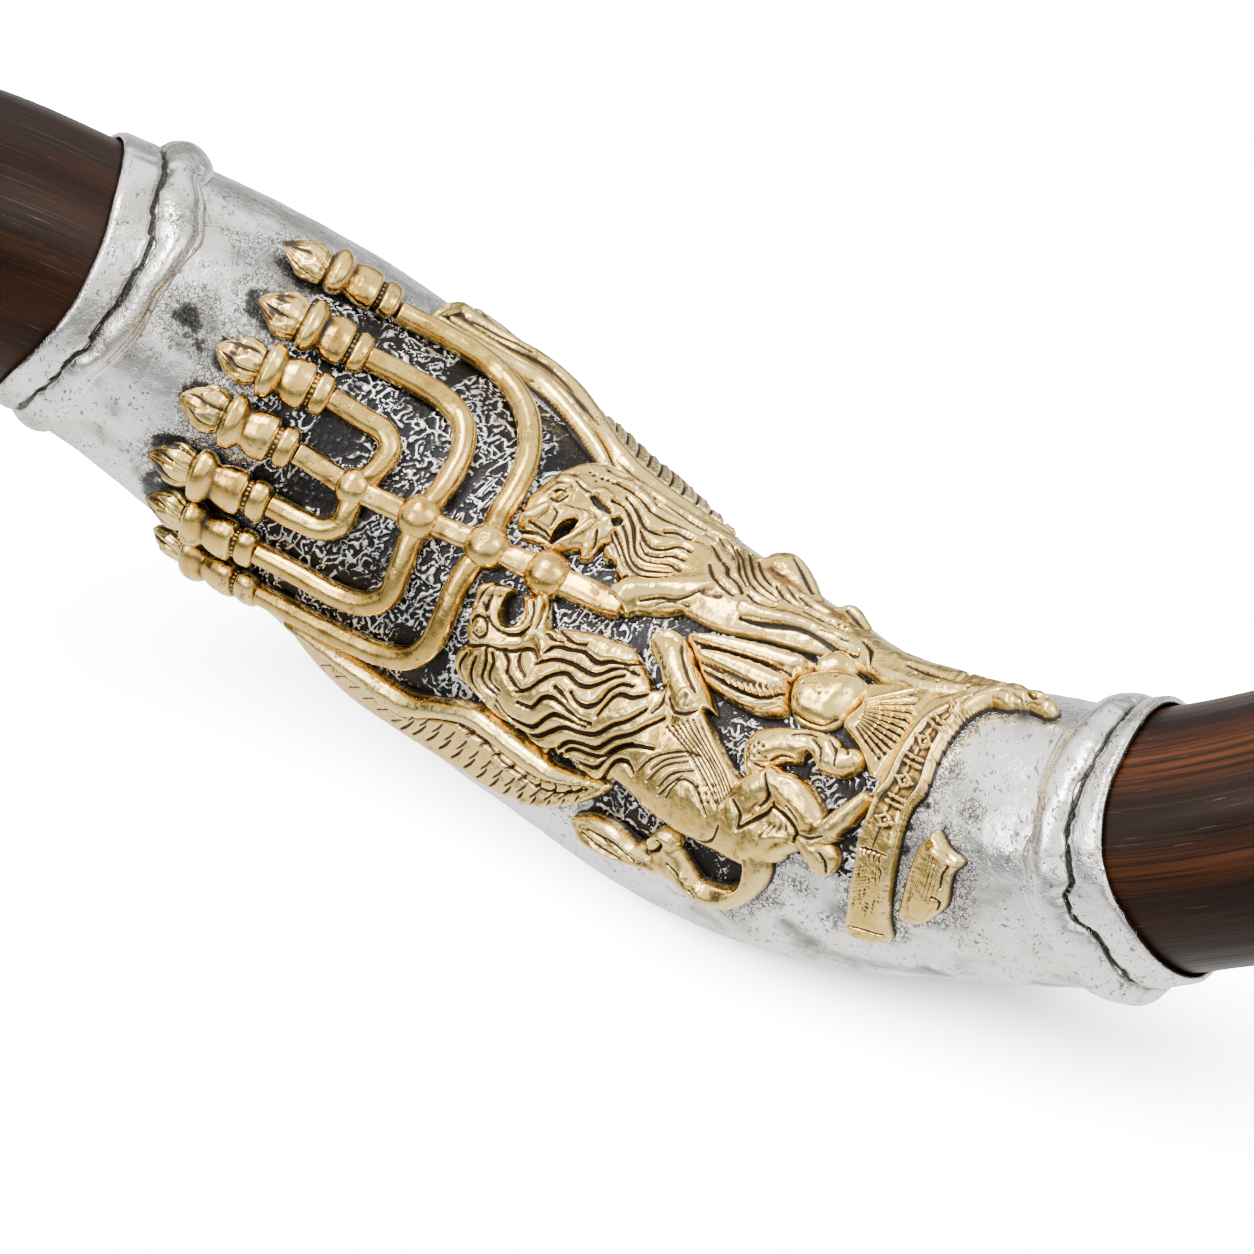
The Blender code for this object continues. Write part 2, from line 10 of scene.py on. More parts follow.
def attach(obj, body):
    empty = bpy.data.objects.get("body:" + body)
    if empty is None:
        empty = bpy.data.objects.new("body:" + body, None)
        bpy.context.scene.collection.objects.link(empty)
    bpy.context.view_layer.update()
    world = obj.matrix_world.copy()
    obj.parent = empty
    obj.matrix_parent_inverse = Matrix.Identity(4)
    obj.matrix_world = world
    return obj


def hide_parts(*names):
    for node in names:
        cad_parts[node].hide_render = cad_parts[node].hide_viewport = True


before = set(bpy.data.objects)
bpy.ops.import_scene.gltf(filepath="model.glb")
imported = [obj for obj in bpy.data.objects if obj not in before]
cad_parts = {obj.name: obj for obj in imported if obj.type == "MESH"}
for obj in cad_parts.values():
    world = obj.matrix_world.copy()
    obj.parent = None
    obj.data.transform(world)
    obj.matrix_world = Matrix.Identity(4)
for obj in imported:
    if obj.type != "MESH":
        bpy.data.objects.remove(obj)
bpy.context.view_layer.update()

# --------------------------------------------------------------- the CAD's own figures (mm)
PITCH, PITCH_RATE = 461.2, -0.0284
COIL, COIL_RATE = 41.15, -0.0537
YAW, DROP = -0.1704, 0.1785
CENTRE = (224.95, 0.0, -30.1)
START_X = -271.9
Q_BELL, Q_TIP = -4.89, 6.91
Q_LEFT, Q_RIGHT = -1.17, 2.14
BELL_BEND, TIP_BEND = -40.0, -40.0
EYE, SHEET, SHEET_MID = 858.0, 0.1825, 627.0
LEAN, ROLL = 39.74, -1.86
ORIGIN = (-12.614, 19.755, -90.549)
WALL = 0.9
MMQ = 82.8          # mm along the sleeve per radian of helix
MMA = 34.0          # mm round the sleeve per radian of section

SLEEVE = [(-1.17, 29.2, 0.0), (-0.82, 32.3, 0.0), (-0.62, 34.2, 0.0), (-0.42, 35.4, 0.0),
          (-0.20, 36.2, 0.0), (0.00, 36.6, 0.0), (0.18, 36.4, 0.0), (0.38, 35.5, 0.0),
          (0.59, 34.8, 0.0), (0.79, 34.6, 0.1), (0.99, 33.5, 0.0), (1.19, 31.6, -0.3),
          (1.39, 29.4, 0.2), (1.59, 27.9, 1.0), (1.79, 27.2, 0.9), (1.99, 26.2, 0.0),
          (2.14, 25.9, 0.0)]
HORN = [(-4.89, 40.5), (-4.2, 38.2), (-3.3, 35.2), (-2.2, 31.4), (-1.5, 28.9), (-1.17, 27.8),
        (0.0, 27.2), (1.0, 26.0), (2.14, 24.4), (2.6, 24.9), (3.5, 22.9), (4.6, 19.2),
        (5.7, 15.0), (6.5, 11.9), (6.78, 11.3), (6.91, 12.6)]
BORE = [(-4.89, 37.2), (-4.2, 34.2), (-3.3, 30.8), (-1.17, 23.6), (0.5, 22.3), (2.14, 19.6),
        (3.6, 14.6), (4.9, 8.6), (5.7, 4.8), (6.70, 3.8), (6.78, 4.6), (6.85, 6.6), (6.91, 8.6)]
KEEL, OVAL = 1.9, 0.035


def table(x, rows, column=1):
    xs = np.array([r[0] for r in rows], float)
    ys = np.array([r[column] for r in rows], float)
    x = np.asarray(x, float)
    d = np.diff(ys) / np.diff(xs)
    m = np.zeros(len(xs))
    m[0], m[-1] = d[0], d[-1]
    for i in range(1, len(xs) - 1):
        if d[i - 1] * d[i] > 0:
            m[i] = 2 * d[i - 1] * d[i] / (d[i - 1] + d[i])
    i = np.clip(np.searchsorted(xs, x) - 1, 0, len(xs) - 2)
    h = xs[i + 1] - xs[i]
    t = np.clip((x - xs[i]) / h, 0, 1)
    return ((2 * t**3 - 3 * t**2 + 1) * ys[i] + (t**3 - 2 * t**2 + t) * h * m[i]
            + (-2 * t**3 + 3 * t**2) * ys[i + 1] + (t**3 - t**2) * h * m[i + 1])


def around(a, rows):
    """A smooth periodic table by section angle in degrees."""
    rows = sorted(rows)
    deg = np.degrees(np.arctan2(np.sin(a), np.cos(a)))
    wide = [(r[0] - 360, r[1]) for r in rows[-2:]] + rows + [(r[0] + 360, r[1]) for r in rows[:2]]
    return table(deg, wide)


def centre(q):
    q = np.asarray(q, float)
    x = PITCH / (2 * np.pi * PITCH_RATE) * (np.exp(PITCH_RATE * q) - 1) + START_X
    r = COIL * np.exp(COIL_RATE * q)
    v = np.stack([x, r * np.cos(q), -r * np.sin(q)], -1)
    c, s = math.cos(YAW), math.sin(YAW)
    v = np.stack([v[..., 0] * c - v[..., 1] * s, v[..., 0] * s + v[..., 1] * c, v[..., 2]], -1)
    c, s = math.cos(DROP), math.sin(DROP)
    v = np.stack([v[..., 0] * c + v[..., 2] * s, v[..., 1], -v[..., 0] * s + v[..., 2] * c], -1)

    def ease(t):
        t = np.clip(t, 0, 1.3)
        return t * t * (1.6 - 0.6 * t)
    bend = BELL_BEND * ease((q + 1.39) / -3.5) + TIP_BEND * ease((q - 2.41) / 4.5)
    return v + np.array(CENTRE) + bend[..., None] * np.array([0.0, 0.91, 0.42])


def unit(v):
    return v / np.linalg.norm(v, axis=-1, keepdims=True)


def section_axes(q):
    q = np.asarray(q, float)
    t = unit(centre(q + 1e-3) - centre(q - 1e-3))
    f = unit(np.array([0.0, -1.0, 0.0]) + t * t[..., 1:2])
    return t, f, np.cross(f, t)


def place(q, a, r):
    q, a, r = np.broadcast_arrays(np.asarray(q, float), np.asarray(a, float), np.asarray(r, float))
    _, f, u = section_axes(q)
    return centre(q) + r[..., None] * (np.cos(a)[..., None] * f + np.sin(a)[..., None] * u)


def sleeve_radius(q, a):
    return table(q, SLEEVE) + table(q, SLEEVE, 2) * np.sin(a)


def on_sleeve(q, a, h):
    return place(q, a, sleeve_radius(q, a) + h)


def horn_turn(q):
    return 0.62 + 0.10 * (q - Q_RIGHT)


def horn_radius(q, a):
    free = np.clip(np.maximum((Q_LEFT - q) / 1.2, (q - Q_RIGHT) / 1.2), 0, 1)
    free = free * free * (3 - 2 * free) * np.clip((Q_TIP - 0.25 - q) / 0.8, 0, 1)
    turn = horn_turn(q)
    ridge = np.exp(-((np.arctan2(np.sin(a - turn), np.cos(a - turn))) / 0.42) ** 2)
    return table(q, HORN) * (1 + OVAL * free * np.cos(2 * (a - turn))) + KEEL * free * ridge


def to_sheet(p):
    k = EYE / (EYE + p[..., 1])
    return np.stack([SHEET_MID + p[..., 0] * k / SHEET, SHEET_MID - p[..., 2] * k / SHEET], -1)


_gq, _ga = np.meshgrid(np.linspace(Q_LEFT - 0.3, Q_RIGHT + 0.3, 120),
                       np.radians(np.linspace(-88, 88, 89)), indexing="ij")
_grids = {}


def from_sheet(xy, lift=3.0):
    """Helix angle and section angle of points on the flat layout sheet."""
    xy = np.atleast_2d(np.asarray(xy, float))[:, :2]
    if lift not in _grids:
        _grids[lift] = to_sheet(on_sleeve(_gq, _ga, lift)).reshape(-1, 2)
    near = [int(np.argmin(((_grids[lift] - p) ** 2).sum(1))) for p in xy]
    q, a = _gq.ravel()[near].copy(), _ga.ravel()[near].copy()
    for _ in range(6):
        p, e = to_sheet(on_sleeve(q, a, lift)), 1e-4
        jq = (to_sheet(on_sleeve(q + e, a, lift)) - p) / e
        ja = (to_sheet(on_sleeve(q, a + e, lift)) - p) / e
        r = xy - p
        det = jq[:, 0] * ja[:, 1] - jq[:, 1] * ja[:, 0]
        det = np.where(abs(det) < 1e3, np.sign(det + 1e-9) * 1e3, det)
        q += np.clip((r[:, 0] * ja[:, 1] - r[:, 1] * ja[:, 0]) / det, -0.05, 0.05)
        a += np.clip((jq[:, 0] * r[:, 1] - jq[:, 1] * r[:, 0]) / det, -0.08, 0.08)
        a = np.clip(a, -math.radians(95), math.radians(95))
    return q, a


def flat(points, lift=3.0):
    """Sheet points to developed millimetres (along, round)."""
    q, a = from_sheet(points, lift)
    return np.stack([q * MMQ, a * MMA], -1)


_e, _r = math.radians(LEAN), math.radians(ROLL)
UP = np.array([-math.sin(_r) * math.cos(_e), -math.sin(_e), math.cos(_e) * math.cos(_r)])
BACK = unit(np.array([0.0, 1.0, 0.0]) - UP * UP[1])
SIDE = np.cross(BACK, UP)
TURN = np.array([SIDE, BACK, UP])


def to_ground(p):
    return (np.asarray(p) @ TURN.T - np.array(ORIGIN)) * 0.001


# --------------------------------------------------------------- small numeric tools
rng = np.random.default_rng(7)


def blur(h, radius):
    """Gaussian blur of a grid, edges held; radius in cells."""
    if radius < 0.3:
        return h
    n = int(radius * 2.6) + 1
    k = np.exp(-0.5 * (np.arange(-n, n + 1) / radius) ** 2)
    k /= k.sum()
    for axis in (0, 1):
        pad = [(n, n) if i == axis else (0, 0) for i in range(2)]
        p = np.pad(h, pad, mode="edge")
        out = np.zeros_like(h)
        for i, w in enumerate(k):
            sl = [slice(None), slice(None)]
            sl[axis] = slice(i, i + h.shape[axis])
            out += w * p[tuple(sl)]
        h = out
    return h


def value_noise(x, y, seed, wrap_y=0):
    """Smooth noise in -1..1 at points x, y (cells of 1); wrap_y makes it periodic in y."""
    r = np.random.default_rng(seed)
    grid = r.uniform(-1, 1, (257, 257))
    xi, yi = np.floor(x).astype(int), np.floor(y).astype(int)
    fx, fy = x - xi, y - yi
    fx, fy = fx * fx * (3 - 2 * fx), fy * fy * (3 - 2 * fy)
    y1 = yi + 1
    if wrap_y:
        yi, y1 = yi % wrap_y, y1 % wrap_y
    xa, xb, ya, yb = xi % 257, (xi + 1) % 257, yi % 257, y1 % 257
    return (grid[xa, ya] * (1 - fx) * (1 - fy) + grid[xb, ya] * fx * (1 - fy)
            + grid[xa, yb] * (1 - fx) * fy + grid[xb, yb] * fx * fy)


def smooth_path(points, step=1.2):
    """Catmull-Rom through rows of any width, resampled about every step."""
    p = np.asarray(points, float)
    if len(p) == 2:
        n = max(2, int(np.linalg.norm(p[1, :2] - p[0, :2]) / step) + 1)
        return p[0] + (p[1] - p[0]) * np.linspace(0, 1, n)[:, None]
    ext = np.vstack([2 * p[0] - p[1], p, 2 * p[-1] - p[-2]])
    out = []
    for i in range(len(p) - 1):
        a, b, c, d = ext[i:i + 4]
        n = max(2, int(np.linalg.norm(c[:2] - b[:2]) / step) + 1)
        for t in np.linspace(0, 1, n, endpoint=False):
            out.append(0.5 * (2 * b + (c - a) * t + (2 * a - 5 * b + 4 * c - d) * t**2
                              + (3 * b - a - 3 * c + d) * t**3))
    out.append(p[-1])
    return np.array(out)


def add_mesh(name, verts, faces, attrs=None, smooth=True, vectors=None):
    """A mesh object from drawing-frame points and an (n, 3) or (n, 4) face array."""
    verts = to_ground(verts)
    faces = np.asarray(faces, np.int64)
    n, k = faces.shape
    mesh = bpy.data.meshes.new(name)
    mesh.vertices.add(len(verts))
    mesh.vertices.foreach_set("co", verts.astype(np.float32).ravel())
    mesh.loops.add(n * k)
    mesh.loops.foreach_set("vertex_index", faces.astype(np.int32).ravel())
    mesh.polygons.add(n)
    mesh.polygons.foreach_set("loop_start", np.arange(0, n * k, k, dtype=np.int32))
    mesh.update(calc_edges=True)
    mesh.validate()
    for key, values in (attrs or {}).items():
        att = mesh.attributes.new(key, "FLOAT", "POINT")
        att.data.foreach_set("value", np.asarray(values, np.float32).ravel())
    for key, values in (vectors or {}).items():
        att = mesh.attributes.new(key, "FLOAT_VECTOR", "POINT")
        att.data.foreach_set("vector", np.asarray(values, np.float32).ravel())
    if smooth:
        mesh.shade_smooth()
    obj = bpy.data.objects.new(name, mesh)
    bpy.context.scene.collection.objects.link(obj)
    return obj


def grid_faces(nu, nv, close_u=False, close_v=False):
    u = np.arange(nu if close_u else nu - 1)
    v = np.arange(nv if close_v else nv - 1)
    uu, vv = np.meshgrid(u, v, indexing="ij")
    u1, v1 = (uu + 1) % nu, (vv + 1) % nv
    return np.stack([uu * nv + vv, uu * nv + v1, u1 * nv + v1, u1 * nv + vv], -1).reshape(-1, 4)


def facing_out(obj):
    bm = bmesh.new()
    bm.from_mesh(obj.data)
    if bm.calc_volume(signed=True) < 0:
        bmesh.ops.reverse_faces(bm, faces=bm.faces)
        bm.to_mesh(obj.data)
    bm.free()
    return obj


# --------------------------------------------------------------- relief fields
SINK = -0.75


class Field:
    """Heights over a patch of the sleeve, drawn with strokes in developed millimetres."""

    def __init__(self, lo, hi, step):
        self.step = step
        self.lo = np.array(lo, float)
        self.n = (int((hi[0] - lo[0]) / step) + 1, int((hi[1] - lo[1]) / step) + 1)
        self.S = self.lo[0] + np.arange(self.n[0]) * step
        self.T = self.lo[1] + np.arange(self.n[1]) * step
        self.H = np.full(self.n, SINK)

    def window(self, lo, hi):
        i0 = max(0, int((lo[0] - self.lo[0]) / self.step))
        i1 = min(self.n[0], int((hi[0] - self.lo[0]) / self.step) + 2)
        j0 = max(0, int((lo[1] - self.lo[1]) / self.step))
        j1 = min(self.n[1], int((hi[1] - self.lo[1]) / self.step) + 2)
        if i0 >= i1 or j0 >= j1:
            return None
        X, Y = np.meshgrid(self.S[i0:i1], self.T[j0:j1], indexing="ij")
        return (slice(i0, i1), slice(j0, j1)), X, Y

    def distance(self, path):
        """Over the path's window: d/r at the nearest bit, the height there and the run along it."""
        p = np.asarray(path, float)
        R = p[:, 2].max() + self.step * 2
        win = self.window(p[:, :2].min(0) - R, p[:, :2].max(0) + R)
        if win is None:
            return None
        sl, X, Y = win
        best = np.full(X.shape, 9.0)
        hh = np.zeros(X.shape)
        run = np.zeros(X.shape)
        side = np.zeros(X.shape)
        length = 0.0
        for a, b in zip(p[:-1], p[1:]):
            d = b[:2] - a[:2]
            l2 = float(d @ d) + 1e-12
            t = np.clip(((X - a[0]) * d[0] + (Y - a[1]) * d[1]) / l2, 0, 1)
            dx, dy = X - a[0] - t * d[0], Y - a[1] - t * d[1]
            r = a[2] + (b[2] - a[2]) * t
            u = np.sqrt(dx * dx + dy * dy) / np.maximum(r, 1e-3)
            new = u < best
            best = np.where(new, u, best)
            hh = np.where(new, a[3] + (b[3] - a[3]) * t, hh)
            run = np.where(new, length + t * math.sqrt(l2), run)
            side = np.where(new, np.sign(d[0] * dy - d[1] * dx), side)
            length += math.sqrt(l2)
        return sl, best, hh, run, side, X, Y

    def stroke(self, path, power=0.5, mode="max", blend=0.0, lip=None):
        """path rows: along, round, half width, height. max builds, add raises, cut grooves."""
        got = self.distance(smooth_path(path, 0.8))
        if got is None:
            return
        sl, u, h, run, side, X, Y = got
        inside = u < 1
        shape = np.where(inside, np.maximum(1 - u * u, 0) ** power, 0)
        H = self.H[sl]
        if mode == "max":
            v = np.where(inside, np.maximum(h * shape, -0.3 + 0 * h), SINK)
            v = np.where(inside, v, SINK)
            if blend > 0:
                m = np.maximum(H, v)
                both = inside & (H > SINK + 0.05)
                k = blend
                d = np.clip(1 - np.abs(H - v) / k, 0, 1)
                H = np.where(both, m + k * 0.25 * d * d, m)
            else:
                H = np.maximum(H, v)
        elif mode == "add":
            H = np.where(H > SINK + 0.05, H + h * shape, H)
        elif mode == "cut":
            H = np.where(H > SINK + 0.05, np.maximum(H - h * shape, SINK + 0.06), H)
        self.H[sl] = H

    def hole(self, path, depth_to=SINK):
        got = self.distance(smooth_path(path, 0.8))
        if got is None:
            return
        sl, u, h, run, side, X, Y = got
        edge = np.clip((1 - u) / 0.25, 0, 1)
        H = self.H[sl]
        self.H[sl] = np.where(u < 1, H * (1 - edge) + depth_to * edge, H)

    def area(self, polygon, height, edge=1.5, power=0.5):
        """A pad inside a closed outline, with a rounded edge that wide."""
        poly = smooth_path(list(polygon) + [polygon[0]], 0.8)[:, :2]
        lo, hi = poly.min(0) - 1, poly.max(0) + 1
        win = self.window(lo, hi)
        if win is None:
            return
        sl, X, Y = win
        inside = np.zeros(X.shape, bool)
        dist = np.full(X.shape, 1e9)
        for a, b in zip(poly, np.roll(poly, -1, 0)):
            cond = (a[1] > Y) != (b[1] > Y)
            with np.errstate(divide="ignore", invalid="ignore"):
                xs = (b[0] - a[0]) * (Y - a[1]) / (b[1] - a[1] + 1e-12) + a[0]
            inside ^= cond & (X < xs)
            d = b - a
            t = np.clip(((X - a[0]) * d[0] + (Y - a[1]) * d[1]) / (d @ d + 1e-12), 0, 1)
            dist = np.minimum(dist, np.hypot(X - a[0] - t * d[0], Y - a[1] - t * d[1]))
        rise = np.clip(dist / edge, 0, 1)
        v = height(X, Y) if callable(height) else height
        shape = (1 - (1 - rise) ** 2) ** power
        self.H[sl] = np.where(inside, np.maximum(self.H[sl], v * shape), self.H[sl])

    def roughen(self, amount, size, seed):
        X, Y = np.meshgrid(self.S, self.T, indexing="ij")
        n = value_noise(X / size, Y / size, seed) + 0.5 * value_noise(X / size * 2.1, Y / size * 2.1, seed + 1)
        self.H = np.where(self.H > SINK + 0.05, self.H + amount * n, self.H)

    def cavity(self, radius=0.8):
        base = np.maximum(self.H, -0.4)
        return base - blur(base, radius / self.step)


drawn = []      # the fields, for the sleeve's patina and painted shade round the reliefs
ground_mask = []


def shade_at(S, T, fields, near=0.0):
    """How far points lie inside the drawn fields, softened."""
    total = np.zeros(S.shape)
    for field, H in fields:
        mask = np.pad(blur(np.clip((H + 0.5) / 0.5, 0, 1), max(near, 0.4) / field.step), 1)
        ii = np.clip(np.round((S - field.lo[0]) / field.step).astype(int) + 1, 0, mask.shape[0] - 1)
        jj = np.clip(np.round((T - field.lo[1]) / field.step).astype(int) + 1, 0, mask.shape[1] - 1)
        total = np.maximum(total, mask[ii, jj])
    return total


def relief_object(name, field, soften=0.25):
    """The closed mesh of a field: its top, its underside and its walls."""
    H = field.H.copy()
    keep = H > SINK + 0.03
    top = blur(H, soften / field.step) if soften else H
    cav, wide = field.cavity(0.7), field.cavity(2.2)
    drawn.append((field, H.copy()))
    cell = keep[:-1, :-1] | keep[1:, :-1] | keep[:-1, 1:] | keep[1:, 1:]
    nS, nT = field.n
    used = np.zeros(field.n, bool)
    ii, jj = np.nonzero(cell)
    for di in (0, 1):
        for dj in (0, 1):
            used[ii + di, jj + dj] = True
    index = -np.ones(field.n, int)
    index[used] = np.arange(used.sum())
    si, ti = np.nonzero(used)
    q, a = field.S[si] / MMQ, field.T[ti] / MMA
    count = len(si)
    up = on_sleeve(q, a, top[si, ti])
    down = on_sleeve(q, a, np.full(count, SINK - 0.12))
    f_top = np.stack([index[ii, jj], index[ii + 1, jj], index[ii + 1, jj + 1], index[ii, jj + 1]], -1)
    faces = [f_top, f_top[:, ::-1] + count]
    padded = np.pad(cell, 1)
    for di, dj, ca, cb in ((-1, 0, (0, 1), (0, 0)), (1, 0, (1, 0), (1, 1)), (0, -1, (0, 0), (1, 0)),
                           (0, 1, (1, 1), (0, 1))):
        edge = ~padded[ii + 1 + di, jj + 1 + dj]
        a0 = index[ii[edge] + ca[0], jj[edge] + ca[1]]
        b0 = index[ii[edge] + cb[0], jj[edge] + cb[1]]
        faces.append(np.stack([a0, b0, b0 + count, a0 + count], -1))
    faces = np.concatenate(faces)
    verts = np.concatenate([up, down])
    c = np.concatenate([cav[si, ti], np.zeros(count)])
    w = np.concatenate([wide[si, ti], np.zeros(count)])
    h = np.concatenate([top[si, ti], np.zeros(count)])
    obj = add_mesh(name, verts, faces, {"cavity": c, "wide": w, "height": h})
    return facing_out(obj)


# --------------------------------------------------------------- materials
class Mat:
    """A small helper to wire a procedural material."""

    def __init__(self, name):
        self.mat = bpy.data.materials.new(name)
        self.mat.use_nodes = True
        self.t = self.mat.node_tree
        self.b = self.t.nodes["Principled BSDF"]
        self.coord = self.add("ShaderNodeTexCoord").outputs["Object"]

    def add(self, kind, inputs=None, **props):
        n = self.t.nodes.new(kind)
        for k, v in props.items():
            setattr(n, k, v)
        for k, v in (inputs or {}).items():
            self.put(n.inputs[k], v)
        return n

    def put(self, socket, v):
        if isinstance(v, bpy.types.NodeSocket):
            self.t.links.new(v, socket)
        elif isinstance(v, (tuple, list)) and len(v) == 3 and socket.type == "RGBA":
            socket.default_value = (*v, 1.0)
        else:
            socket.default_value = v

    def attr(self, name, vector=False):
        n = self.add("ShaderNodeAttribute", attribute_name=name, attribute_type="GEOMETRY")
        return n.outputs["Vector" if vector else "Fac"]

    def scaled(self, coord, scale):
        return self.add("ShaderNodeMapping", {"Vector": coord, "Scale": scale if isinstance(scale, tuple) else (scale,) * 3}
                        ).outputs["Vector"]

    def noise(self, coord, scale, detail=3.0, rough=0.55, distortion=0.0):
        return self.add("ShaderNodeTexNoise", {"Vector": coord, "Scale": scale, "Detail": detail, "Roughness": rough,
                                               "Distortion": distortion}).outputs["Fac"]

    def voronoi(self, coord, scale, feature="F1"):
        return self.add("ShaderNodeTexVoronoi", {"Vector": coord, "Scale": scale}, feature=feature).outputs["Distance"]

    def math(self, op, a, b=0.0, c=0.0, clamp=False):
        n = self.add("ShaderNodeMath", operation=op, use_clamp=clamp)
        for s, v in zip(n.inputs, (a, b, c)):
            self.put(s, v)
        return n.outputs[0]

    def span(self, v, lo, hi, to_lo=0.0, to_hi=1.0):
        n = self.add("ShaderNodeMapRange", {"Value": v, "From Min": lo, "From Max": hi, "To Min": to_lo, "To Max": to_hi})
        n.interpolation_type = "SMOOTHSTEP"
        return n.outputs["Result"]

    def ramp(self, v, stops):
        n = self.add("ShaderNodeValToRGB", {"Fac": v})
        el = n.color_ramp.elements
        el[0].position, el[0].color = stops[0][0], (*stops[0][1], 1)
        el[1].position, el[1].color = stops[-1][0], (*stops[-1][1], 1)
        for pos, col in stops[1:-1]:
            e = el.new(pos)
            e.color = (*col, 1)
        return n.outputs["Color"]

    def mix(self, f, a, b):
        n = self.add("ShaderNodeMix", data_type="RGBA")
        self.put(n.inputs[0], f)
        self.put(n.inputs[6], a)
        self.put(n.inputs[7], b)
        return n.outputs[2]

    def bump(self, height, strength, distance, normal=None):
        n = self.add("ShaderNodeBump", {"Height": height, "Strength": strength, "Distance": distance})
        if normal is not None:
            self.t.links.new(normal, n.inputs["Normal"])
        return n.outputs["Normal"]

    def out(self, **sockets):
        for k, v in sockets.items():
            self.put(self.b.inputs[k.replace("_", " ")], v)
        return self.mat


def silver_material():
    m = Mat("worn_silver_with_painted_shade")
    mm = m.scaled(m.coord, 1000.0)
    patina_and_shade, groove = m.attr("patina_and_shade"), m.attr("cavity")
    big = m.noise(mm, 0.05, 3.0)
    soft = m.noise(mm, 0.35, 4.0, 0.6)
    fine = m.noise(mm, 2.2, 4.0, 0.65)
    # curly chased lines: a warped cell pattern's edges
    warp = m.add("ShaderNodeTexNoise", {"Vector": mm, "Scale": 0.8, "Detail": 2.0}).outputs["Color"]
    bent = m.add("ShaderNodeVectorMath", {0: mm, 1: m.add("ShaderNodeVectorMath", {0: warp, "Scale": 2.6}, operation="SCALE").outputs[0]},
                 operation="ADD").outputs[0]
    curls = m.voronoi(bent, 0.75, "DISTANCE_TO_EDGE")
    curl_line = m.span(curls, 0.02, 0.13, 1.0, 0.0)
    ticks = m.span(m.noise(m.scaled(mm, (1.0, 0.40, 0.75)), 1.25, 2.0, 0.5, 0.8), 0.605, 0.645)
    ticks = m.math("MULTIPLY", ticks, m.span(m.noise(mm, 0.16, 2.0), 0.38, 0.52))
    pits = m.span(m.voronoi(mm, 0.62), 0.06, 0.12, 1.0, 0.0)
    pitmask = m.math("MULTIPLY", pits, m.span(m.noise(mm, 0.21, 2.0), 0.43, 0.53))
    broken = m.math("ADD", m.math("MULTIPLY", m.math("SUBTRACT", soft, 0.5), 1.3), m.math("MULTIPLY", m.math("SUBTRACT", fine, 0.5), 0.9))
    # near: patina and painted shade round the reliefs, broken by noise, turns the silver black
    near = m.span(m.math("ADD", patina_and_shade, broken), 0.58, 0.90)
    lines = m.math("MULTIPLY", curl_line, m.span(m.math("ADD", patina_and_shade, m.math("MULTIPLY", m.math("SUBTRACT", big, 0.5), 1.2)),
                                                 0.12, 0.34))
    cut = m.span(groove, -0.10, -0.35)
    marks_and_shade = m.math("MAXIMUM", m.math("MAXIMUM", near, m.math("MULTIPLY", lines, 0.92)),
                  m.math("MAXIMUM", cut, m.math("MULTIPLY", m.math("MAXIMUM", ticks, pitmask), 0.80)), clamp=True)
    clean = m.mix(m.span(big, 0.47, 0.66), (0.95, 0.93, 0.885), (0.66, 0.625, 0.565))
    clean = m.mix(m.math("MULTIPLY", m.span(fine, 0.45, 0.75), 0.25), clean, (0.74, 0.71, 0.66))
    black = m.mix(m.span(fine, 0.4, 0.62), (0.006, 0.006, 0.006), (0.055, 0.052, 0.048))
    colour = m.mix(marks_and_shade, clean, black)
    rough = m.math("ADD", m.span(soft, 0.3, 0.75, 0.12, 0.27), m.math("MULTIPLY", marks_and_shade, 0.22))
    height = m.math("SUBTRACT", m.math("ADD", m.math("MULTIPLY", soft, 0.75), m.math("MULTIPLY", fine, 0.16)),
                    m.math("MULTIPLY", m.math("MAXIMUM", m.math("MULTIPLY", lines, 0.55), m.math("MAXIMUM", ticks, pitmask)), 0.6))
    return m.out(Base_Color=colour, Metallic=m.span(marks_and_shade, 0.2, 1.0, 1.0, 0.7), Roughness=rough,
                 Normal=m.bump(height, 0.8, 0.00034))


